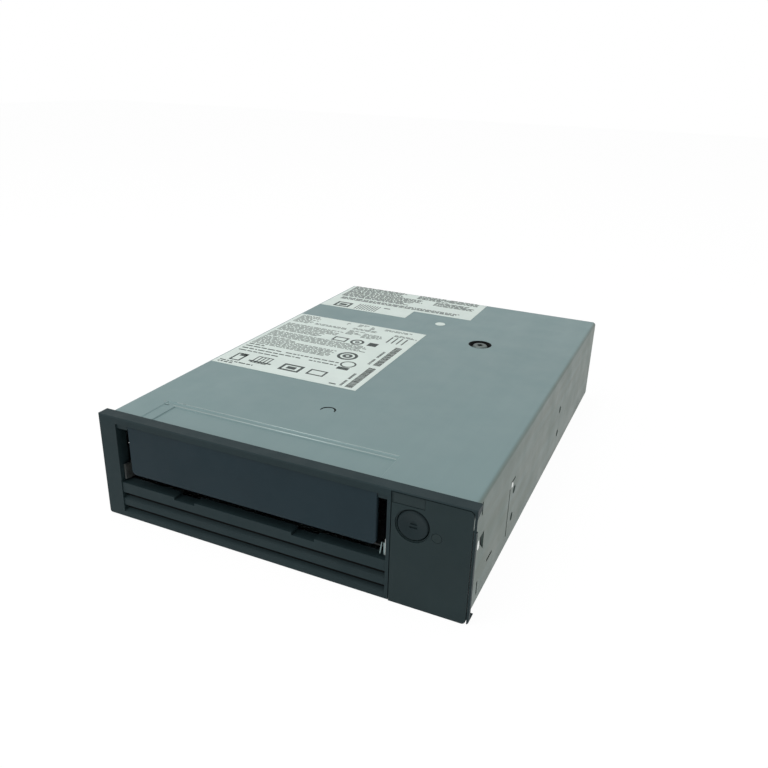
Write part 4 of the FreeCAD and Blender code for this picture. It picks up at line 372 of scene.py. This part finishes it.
class Press:
    """Prints plain bars, frames and rings as thin ink on a label, placed from its front left corner."""

    INK_T = 0.02 * MM
    KEYED = 0.008 * MM       # depth of the ink below the label's face, so that it holds

    def __init__(self, label, seed):
        low_corner, high_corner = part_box(label)
        self.left, self.front, self.face = low_corner[0], low_corner[1], high_corner[2]
        self.random = random.Random(seed)
        self.mesh = bmesh.new()

    def bar(self, u, v):
        """Filled rectangle between two places along and two across."""
        add_box(self.mesh, (self.left + u[0] * MM, self.front + v[0] * MM, self.face - self.KEYED),
                (self.left + u[1] * MM, self.front + v[1] * MM, self.face + self.INK_T))

    def line(self, u, v, height):
        """A row of bars of word length."""
        place = u[0]
        while place < u[1]:
            end = min(u[1], place + self.random.uniform(*WORD_L))
            if end - place > WORD_L[0] / 2:
                self.bar((place, end), (v, v + height))
            place = end + WORD_GAP

    def paragraph(self, u, v, pitch=1.35, height=0.62):
        """Rows of bars, ragged on the right."""
        row = v[1] - height
        while row > v[0]:
            self.line((u[0], u[1] - self.random.uniform(0.0, RAGGED)), row, height)
            row -= pitch

    def strip(self, u, v):
        """A strip of cross bars of chance widths."""
        place = v[0]
        while place < v[1]:
            width = self.random.uniform(*CROSS_BAR)
            self.bar(u, (place, min(v[1], place + width)))
            place += width + self.random.uniform(*CROSS_GAP)

    def frame(self, u, v, line):
        """Outline of a rectangle."""
        self.bar(u, (v[0], v[0] + line))
        self.bar(u, (v[1] - line, v[1]))
        self.bar((u[0], u[0] + line), (v[0] + line, v[1] - line))
        self.bar((u[1] - line, u[1]), (v[0] + line, v[1] - line))

    def ring(self, u, v, outer, inner, sides=28):
        """Flat ring."""
        low_z, high_z = self.face - self.KEYED, self.face + self.INK_T
        rings = []
        for k in range(sides):
            cos, sin = round_step(k, sides)
            middle_x, middle_y = self.left + u * MM, self.front + v * MM
            section = ((inner, low_z), (outer, low_z), (outer, high_z), (inner, high_z))
            rings.append([(middle_x + cos * radius * MM, middle_y + sin * radius * MM, z)
                          for radius, z in section])
        add_tube(self.mesh, rings, closed=True)

    def done(self, name, ink):
        """The finished printing as a piece on the chassis."""
        return piece_from(self.mesh, name, "chassis", ink)


ink = printing_ink("label_ink", INK)
dark_ink = printing_ink("label_dark_ink", DARK_INK)


# Places on the main label: (left, right) and (front, back) edges, millimetres from its front left corner.
MAIN_SEED, STRIPS_SEED, REAR_SEED = 7, 11, 19
MAIN_PARAGRAPHS = (
    ((2.0, 14.5), (67.0, 78.5)), ((29.0, 33.5), (73.5, 77.5)), ((35.5, 41.5), (75.0, 78.4)),
    ((43.0, 48.5), (72.5, 77.5)), ((50.5, 67.5), (75.4, 77.6)), ((14.5, 33.0), (67.2, 69.6)),
    ((35.0, 49.5), (69.0, 72.2)), ((35.0, 43.5), (61.6, 68.0)), ((44.0, 55.0), (59.4, 66.6)),
    ((1.8, 34.0), (57.0, 63.4)), ((1.8, 27.0), (50.4, 56.4)), ((1.8, 55.5), (41.4, 49.6)),
    ((1.8, 21.0), (38.2, 40.8)), ((1.8, 43.5), (28.8, 38.0)))
MAIN_LINES = (
    ((1.8, 10.0), 27.0), ((1.8, 21.0), 24.2), ((23.5, 51.0), 24.2), ((1.8, 33.0), 21.0),
    ((37.5, 51.5), 21.0), ((1.8, 24.0), 18.0), ((1.8, 19.0), 3.3), ((1.8, 9.5), 1.5), ((58.0, 61.5), 1.8))
MAIN_LINE_H = 0.95
TABLE_HEAD = ((58.2, 71.0), (68.8, 71.8))
TABLE_COLUMNS, TABLE_COLUMN_W, TABLE_ROWS = (58.2, 60.8, 63.4, 66.0), 0.7, (59.9, 68.4)
BASKET_POSTS, BASKET_POST_W, BASKET_HEIGHT = (17.4, 19.2, 21.0), 0.6, (7.4, 14.3)
MAIN_FRAMES = (              # edges, then the line's thickness
    ((5.0, 10.5), (5.6, 14.4), 0.9), ((15.5, 23.5), (6.8, 14.9), 0.6), ((30.5, 40.6), (5.6, 13.0), 1.3),
    ((44.0, 52.4), (6.6, 12.6), 0.9), ((33.0, 40.6), (50.9, 56.4), 0.9))
MAIN_BARS = (
    ((6.8, 10.5), (11.4, 14.4)), ((14.0, 25.5), (7.8, 9.0)), ((33.4, 37.8), (7.9, 10.7)),
    ((52.8, 58.4), (18.2, 21.0)))
MAIN_RINGS = (               # place, then outer and inner radius
    (46.0, 53.6, 3.5, 2.3), (46.0, 53.6, 1.2, 0.3), (50.5, 34.4, 4.9, 3.5), (50.5, 34.4, 2.4, 0.9),
    (55.6, 25.0, 3.7, 2.9))
WIDE_STRIPS = (65.6, 69.0), ((1.7, 26.0), (29.4, 55.6))
NARROW_STRIPS = (62.8, 64.0), ((2.0, 8.4), (10.0, 17.0), (29.6, 36.6), (39.0, 47.4))
DARK_SQUARE = ((51.9, 56.6), (51.4, 55.9))

# Places on the rear label, in the same way.
REAR_PARAGRAPHS = (
    ((1.6, 36.5), (34.6, 43.4)), ((43.0, 63.0), (36.6, 43.4)), ((62.0, 81.5), (38.0, 43.4)),
    ((2.0, 50.0), (28.4, 34.4)), ((56.0, 79.5), (28.6, 35.4)), ((2.0, 45.0), (20.6, 28.4)),
    ((4.0, 76.0), (15.4, 19.6)))
REAR_FRAME, REAR_FRAME_LINE = ((6.6, 15.8), (1.8, 9.8)), 1.3
REAR_FRAME_CORE = ((9.0, 13.4), (4.2, 7.2))
HATCH_LEFT, HATCH_BAR_END, HATCH_PITCH, HATCH_BARS, HATCH_HEIGHT = 19.6, 20.1, 1.5, 9, (1.4, 11.0)
REAR_NOTE = ((34.4, 38.0), 9.4, 1.2)


def print_main_label():
    """Greeked text, a small table, plain marks and two rows of cross-barred strips."""
    press = Press("main_label", MAIN_SEED)
    for u, v in MAIN_PARAGRAPHS:
        press.paragraph(u, v)
    for u, v in MAIN_LINES:
        press.line(u, v, MAIN_LINE_H)
    press.paragraph(*TABLE_HEAD, pitch=1.3, height=0.7)
    for column in TABLE_COLUMNS:
        press.bar((column, column + TABLE_COLUMN_W), TABLE_ROWS)
    for post in BASKET_POSTS:
        press.bar((post, post + BASKET_POST_W), BASKET_HEIGHT)
    for u, v, line in MAIN_FRAMES:
        press.frame(u, v, line)
    for u, v in MAIN_BARS:
        press.bar(u, v)
    for ring in MAIN_RINGS:
        press.ring(*ring)
    press.done("main_label_printing", ink)
    press = Press("main_label", STRIPS_SEED)
    for u, stretches in (WIDE_STRIPS, NARROW_STRIPS):
        for v in stretches:
            press.strip(u, v)
    press.bar(*DARK_SQUARE)
    press.done("main_label_strips", dark_ink)


def print_rear_label():
    """Greeked lines over both arms of the label, a small frame and a hatched patch."""
    press = Press("rear_label", REAR_SEED)
    for u, v in REAR_PARAGRAPHS:
        press.paragraph(u, v, pitch=1.45, height=0.9)
    press.frame(*REAR_FRAME, REAR_FRAME_LINE)
    press.bar(*REAR_FRAME_CORE)
    for k in range(HATCH_BARS):
        press.bar((HATCH_LEFT + HATCH_PITCH * k, HATCH_BAR_END + HATCH_PITCH * k), HATCH_HEIGHT)
    press.line(*REAR_NOTE)
    press.done("rear_label_printing", ink)


print_main_label()
print_rear_label()


# ---------------------------------------------------------------- details on the cover's sides
# (front, back) and (bottom, top) of each slit and slot, from the chassis's front and underside
SIDE_SLOTS = (((4.2, 5.3), (35.0, 39.9)), ((5.4, 6.5), (3.6, 8.7)), ((15.8, 22.0), (9.9, 11.0)),
              ((40.6, 41.5), (4.8, 25.0)), ((42.6, 47.6), (26.6, 27.4)))
SHADE_BLOCK_DEPTHS = (0.15, 1.1)  # the painted shade blocks lie between these depths below the side's face
SHADE_BLOCK_PLAY = 0.02
# near-black colour of the painted shade blocks in the slots, the louvres, the screw well and the half-round
painted_shade_black = smooth_plastic("painted_shade_lining", srgb(14, 16, 16), 0.7, 0.05)


def slot_shade_blocks(side, name):
    """Black blocks that fill the slits and slots of one side of the cover almost to its face: painted shade
    standing in for the dark inside.
    """
    mesh = bmesh.new()
    near, far = (COVER_EDGE - depth * MM for depth in SHADE_BLOCK_DEPTHS)
    for (front, back), (bottom, top) in SIDE_SLOTS:
        low_corner = at(0, front + SHADE_BLOCK_PLAY, bottom + SHADE_BLOCK_PLAY)
        high_corner = at(0, back - SHADE_BLOCK_PLAY, top - SHADE_BLOCK_PLAY)
        add_box(mesh, (min(side * near, side * far), low_corner.y, low_corner.z),
                (max(side * near, side * far), high_corner.y, high_corner.z))
    return piece_from(mesh, name, "chassis", painted_shade_black)


slot_shade_blocks(-1, "slot_shade_blocks_left")
slot_shade_blocks(1, "slot_shade_blocks_right")


def dome(mesh, middle, radii, height, side, rings=5, around=20):
    """Low oval bump standing out of a side face, with its radii along and up the side."""
    made = []
    for j in range(rings):
        angle = math.pi / 2 * j / rings
        made.append([(middle.x + side * height * math.sin(angle) * MM,
                      middle.y + radii[0] * math.cos(angle) * cos * MM,
                      middle.z + radii[1] * math.cos(angle) * sin * MM)
                     for cos, sin in (round_step(k, around) for k in range(around))])
    add_tube(mesh, made)


bright = bare_metal("bright_spot", srgb(214, 218, 216), 0.16, (5.0, 5.0, 5.0))
worn_bright = bare_metal("worn_bright", srgb(122, 140, 140), 0.34, (5.0, 5.0, 5.0))

# bumps on a side: depth of the foot below the face, (y, z), radii, height over the foot
CONTACT_BUMP = 0.25, (3.1, 24.6), (1.15, 2.0), 0.55
SPRING_BUMP = 0.1, (43.6, 25.6), (0.95, 1.15), 0.4


def side_spots(side, name):
    """Polished contact bump in front of the snap window and the spring's round bump."""
    mesh = bmesh.new()
    for sunk, place, radii, height in (CONTACT_BUMP, SPRING_BUMP):
        dome(mesh, at(side * (COVER_EDGE / MM - sunk), *place), radii, height, side)
    return piece_from(mesh, name, "chassis", bright, smooth=True)


side_spots(1, "side_spots_right")
side_spots(-1, "side_spots_left")


# ---------------------------------------------------------------- stamped edge of the recess
RECESS_LEFT = -58.6
RECESS_RIGHT = 38.6
BEADS_START = 3.0            # the beads start this far right of the recess's left edge
RECESS_BEADS = ((17.75, 0.22, -0.06), (15.45, 0.3, -0.36))      # y, half width, height against the top
BEAD_STEPS = 6
BEAD_FLATNESS = 0.6          # height of a bead's arch over its half width
# lighter copy of the cover's grey-green: painted highlight along the recess's back edge
painted_highlight_steel = coated_steel("painted_highlight_steel", srgb(168, 186, 184), 0.3, 0.45)


def recess_beads():
    """Rounded edges that the stamping leaves along the back of the recess, coated lighter than the cover as
    a painted highlight.
    """
    mesh = bmesh.new()
    for y, half, height in RECESS_BEADS:
        angles = [math.pi * k / BEAD_STEPS for k in range(BEAD_STEPS + 1)]
        arc = [(y + half * math.cos(angle), COVER_FACE + height + half * BEAD_FLATNESS * math.sin(angle))
               for angle in angles]
        add_tube(mesh, [[at(x, *place) for place in arc] for x in (RECESS_LEFT + BEADS_START, RECESS_RIGHT)])
    return piece_from(mesh, "recess_beads", "chassis", painted_highlight_steel, smooth=True)


# x, y, half length, half width, turn in degrees
CORNER_FOLDS = ((-60.6, 16.6, 1.5, 0.45, -45), (-58.6, 15.2, 0.9, 0.3, 20))
FOLD_FOOT, FOLD_H = 0.1, 0.22    # depth of a fold's foot below the top, and its height over the foot
FOLD_RINGS, FOLD_SIDES = 4, 16


def recess_corner():
    """Two pinched folds at the recess's left rear corner."""
    mesh = bmesh.new()
    for x, y, half_length, half_width, turn in CORNER_FOLDS:
        turn_cos, turn_sin = math.cos(math.radians(turn)), math.sin(math.radians(turn))
        rings = []
        for j in range(FOLD_RINGS):
            rise = math.pi / 2 * j / FOLD_RINGS
            ring = []
            for k in range(FOLD_SIDES):
                cos, sin = round_step(k, FOLD_SIDES)
                along, across = half_length * math.cos(rise) * cos, half_width * math.cos(rise) * sin
                height = COVER_FACE - FOLD_FOOT + FOLD_H * math.sin(rise)
                ring.append(at(x + along * turn_cos - across * turn_sin,
                               y + along * turn_sin + across * turn_cos, height))
            rings.append(ring)
        add_tube(mesh, rings)
    return piece_from(mesh, "recess_corner_folds", "chassis", worn_bright, smooth=True)


recess_beads()
recess_corner()


# ---------------------------------------------------------------- screw well and half-round
WELL_X, WELL_Y = 28.5, 141.0
WELL_SIDES = 48
# section of the dark ring of painted shade in the well: radius, height against the cover's top
WELL_SHADE_SECTION = ((3.85, -1.66), (4.95, -1.66), (5.6, -0.02), (5.25, 0.02), (4.7, -1.2), (3.85, -1.45))
HALF_ROUND_X, HALF_ROUND_Y, HALF_ROUND_R = -0.5, 39.1, 3.15
CRESCENT_FROM, CRESCENT_TO = 25, 205     # degrees
CRESCENT_STEPS = 24
CRESCENT_TIP, CRESCENT_SWELL = 0.12, 0.75        # thickness at the tips, and what the middle has over it
CRESCENT_FOOT, CRESCENT_TOP = -0.05, 0.012       # heights against the cover's top


def well_painted_shade():
    """Dark ring of painted shade round the screw in its well, as a turned section."""
    mesh = bmesh.new()
    rings = []
    for k in range(WELL_SIDES):
        cos, sin = round_step(k, WELL_SIDES)
        rings.append([at(WELL_X + radius * cos, WELL_Y + radius * sin, COVER_FACE + height)
                      for radius, height in WELL_SHADE_SECTION])
    add_tube(mesh, rings, closed=True)
    return piece_from(mesh, "well_painted_shade_ring", "chassis", painted_shade_black, smooth=True)


def half_round_shadow():
    """Dark crescent painted flush on the cover's top at the half-round lance, as a painted shadow."""
    mesh = bmesh.new()
    start, end = math.radians(CRESCENT_FROM), math.radians(CRESCENT_TO)
    rings = []
    for k in range(CRESCENT_STEPS + 1):
        angle = start + (end - start) * k / CRESCENT_STEPS
        inner = HALF_ROUND_R - (CRESCENT_TIP + CRESCENT_SWELL * math.sin(math.pi * k / CRESCENT_STEPS))
        section = ((HALF_ROUND_R, CRESCENT_FOOT), (HALF_ROUND_R, CRESCENT_TOP),
                   (inner, CRESCENT_TOP), (inner, CRESCENT_FOOT))
        rings.append([at(HALF_ROUND_X + radius * math.cos(angle), HALF_ROUND_Y + radius * math.sin(angle),
                         COVER_FACE + height) for radius, height in section])
    add_tube(mesh, rings)
    return piece_from(mesh, "half_round_painted_shadow", "chassis", painted_shade_black)


well_painted_shade()
half_round_shadow()
screw_finish = bare_metal("screw_zinc", srgb(92, 102, 100), 0.42, (4.0, 4.0, 4.0))
nodes["cover_screw"].data.materials.clear()
nodes["cover_screw"].data.materials.append(screw_finish)


# ---------------------------------------------------------------- front: painted shade behind the louvres, tray tips
LOUVRE_SHADE_TOPS = (9.9, 4.3)    # upper edges of the two painted shade blocks
# section of a painted shade block: y, height against its upper edge
SHADE_BLOCK_SECTION = ((-2.25, -0.86), (-3.2, -1.555), (-3.2, -1.44), (-2.25, -0.04))
SHADE_BLOCK_SPAN = (-66.2, 44.2)

TIP_FRONT, TIP_BACK = -3.2, -2.4
TIP_FOOT, TIP_HEAD = 15.5, 20.2
# (left, right) at the foot and at the head
SPLAYED_TIPS = (((43.05, 44.15), (42.9, 43.4)), ((41.45, 41.9), (42.15, 42.45)))
TAB_LOW, TAB_HIGH = (-61.6, 1.9, 15.05), (-55.6, 4.4, 15.45)


def louvre_shade_blocks():
    """Dark blocks at the back of the louvres: painted shade that makes the grooves look like open vents from
    the front.
    """
    mesh = bmesh.new()
    for top in LOUVRE_SHADE_TOPS:
        add_tube(mesh, [[at(x, y, top + z) for y, z in SHADE_BLOCK_SECTION] for x in SHADE_BLOCK_SPAN])
    return piece_from(mesh, "louvre_shade_blocks", "chassis", painted_shade_black)


def tray_tips():
    """Folded tips of the tray: a splayed pair at the right of the mouth, a flat tab at the left."""
    mesh = bmesh.new()
    for foot, head in SPLAYED_TIPS:
        rings = []
        for (left, right), z in ((foot, TIP_FOOT), (head, TIP_HEAD)):
            corners = ((left, TIP_FRONT), (right, TIP_FRONT), (right, TIP_BACK), (left, TIP_BACK))
            rings.append([at(x, y, z) for x, y in corners])
        add_tube(mesh, rings)
    add_box(mesh, at(*TAB_LOW), at(*TAB_HIGH))
    return piece_from(mesh, "tray_tips", "tray", worn_bright)


louvre_shade_blocks()
tray_tips()


# ---------------------------------------------------------------- lead screw
THREAD_PITCH = 1.5
THREAD_DEPTH = 0.22
THREAD_SIDES = 24
THREAD_STEPS = 8             # rings for each turn


def threaded_screw():
    """Lead screw with its thread cut into the shaft."""
    mesh = bmesh.new()
    low_corner, high_corner = (Vector(corner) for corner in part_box("lead_screw"))
    axis = (low_corner + high_corner) / 2
    radius = (high_corner.x - low_corner.x) / 2
    length = high_corner.z - low_corner.z
    count = int(length / MM / THREAD_PITCH * THREAD_STEPS)
    rings = []
    for j in range(count + 1):
        z = low_corner.z + length * j / count
        ring = []
        for k in range(THREAD_SIDES):
            turn = (z / MM / THREAD_PITCH - k / THREAD_SIDES) % 1.0
            cut = radius - THREAD_DEPTH * MM * abs(2 * turn - 1)
            cos, sin = round_step(k, THREAD_SIDES)
            ring.append((axis.x + cut * cos, axis.y + cut * sin, z))
        rings.append(ring)
    add_tube(mesh, rings)
    screw = piece_from(mesh, "threaded_lead_screw", "lead_screw", finishes["bright_steel"])
    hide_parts("lead_screw")


threaded_screw()


# ---------------------------------------------------------------- light, floor and camera
WARM = (1.0, 0.97, 0.9)
LAMPS = (                    # name, place from the part's middle in metres, size in metres, watts, colour
    ("overhead", (-0.15, -0.15, 0.9), 0.8, 3.4, WHITE),
    ("front_left", (-0.55, -0.75, 0.45), 0.6, 1.8, WHITE),
    ("right_fill", (0.9, -0.1, 0.35), 0.7, 0.4, WARM))
SKY_LIGHT = 0.42             # the world's strength as light on the object
WHITE_SHARE = 0.93           # share of plain white in the floor as the camera sees it; the rest is lit
WHITE_STRENGTH = 1.03        # makes the lit floor and the plain white add up to white
FLOOR_HALF = 2.5             # metres
FLOOR_GAP = 0.0002           # metres under the part
FLOOR_SHADES = (0.93, 0.96)


def area_lamp(name, place, aim, size, power, colour):
    """Square lamp aimed at a point."""
    data = bpy.data.lights.new(name, "AREA")
    data.shape = "SQUARE"
    data.size = size
    data.energy = power
    data.color = colour
    lamp = bpy.data.objects.new(name, data)
    scene.collection.objects.link(lamp)
    lamp.location = place
    lamp.rotation_euler = (Vector(aim) - Vector(place)).to_track_quat("-Z", "Y").to_euler()
    return lamp


low, high = cad_box
middle = (Vector(low) + Vector(high)) / 2
for name, place, size, power, colour in LAMPS:
    area_lamp(name, middle + Vector(place), middle, size, power, colour)


def either(tree, path, names):
    """One when the ray is of any of the named kinds."""
    seen = path.outputs[names[0]]
    for name in names[1:]:
        larger = tree.nodes.new("ShaderNodeMath")
        larger.operation = "MAXIMUM"
        tree.links.new(seen, larger.inputs[0])
        tree.links.new(path.outputs[name], larger.inputs[1])
        seen = larger.outputs[0]
    return seen


def white_unless_lit():
    """World: soft light for the object, plain white to the camera and in reflections."""
    world = bpy.data.worlds.new("studio")
    scene.world = world
    world.use_nodes = True
    tree = world.node_tree
    background = tree.nodes["Background"]
    background.inputs["Color"].default_value = WHITE + (1.0,)
    path = tree.nodes.new("ShaderNodeLightPath")
    seen = either(tree, path, WHITE_RAYS)
    strength = tree.nodes.new("ShaderNodeMapRange")
    strength.inputs["To Min"].default_value = SKY_LIGHT
    strength.inputs["To Max"].default_value = 1.0
    tree.links.new(seen, strength.inputs["Value"])
    tree.links.new(strength.outputs["Result"], background.inputs["Strength"])


white_unless_lit()


def pale_floor():
    """Pale floor that is almost plain white to the camera but still carries the object's soft shadow."""
    mesh = bpy.data.meshes.new("floor")
    half, z = FLOOR_HALF, low[2] - FLOOR_GAP
    corners = [(-half, -half, z), (half, -half, z), (half, half, z), (-half, half, z)]
    mesh.from_pydata(corners, [], [tuple(range(len(corners)))])
    floor = bpy.data.objects.new("floor", mesh)
    scene.collection.objects.link(floor)
    m = Maker("floor_white", roughness=0.9, specular=0.1)
    m.colour(m.tinted(m.noise(3.0), WHITE, *FLOOR_SHADES))
    emission = m.node("ShaderNodeEmission")
    emission.inputs["Color"].default_value = WHITE + (1.0,)
    emission.inputs["Strength"].default_value = WHITE_STRENGTH
    path = m.node("ShaderNodeLightPath")
    blend = m.node("ShaderNodeMixShader")
    seen = either(m.tree, path, WHITE_RAYS)
    share = m.map_range(seen, 0.0, 1.0, 0.0, WHITE_SHARE)
    m.link(share, blend.inputs["Fac"])
    m.link(m.shader.outputs["BSDF"], blend.inputs[1])
    m.link(emission.outputs["Emission"], blend.inputs[2])
    output = next(n for n in m.tree.nodes if n.type == "OUTPUT_MATERIAL")
    m.link(blend.outputs["Shader"], output.inputs["Surface"])
    mesh.materials.append(m.material)


pale_floor()


# solved on points of the photo, in metres and degrees
CAMERA_PLACE, CAMERA_AIM = (0.12450, -0.29369, 0.16446), (-0.01194, 0.0180, 0.02159)
CAMERA_ROLL, CAMERA_FIELD = 1.867, 54.26


def camera(place, aim, roll_degrees, field_degrees):
    """The scene's camera, by its place, the point it looks at, its roll and its field of view."""
    data = bpy.data.cameras.new("camera")
    data.lens_unit = "FOV"
    data.angle = math.radians(field_degrees)
    data.clip_start = 0.01
    viewer = bpy.data.objects.new("camera", data)
    scene.collection.objects.link(viewer)
    look = (Vector(aim) - Vector(place)).to_track_quat("-Z", "Y").to_matrix().to_4x4()
    roll = Matrix.Rotation(math.radians(roll_degrees), 4, "Z")
    viewer.matrix_world = Matrix.Translation(place) @ look @ roll
    scene.camera = viewer


camera(CAMERA_PLACE, CAMERA_AIM, CAMERA_ROLL, CAMERA_FIELD)
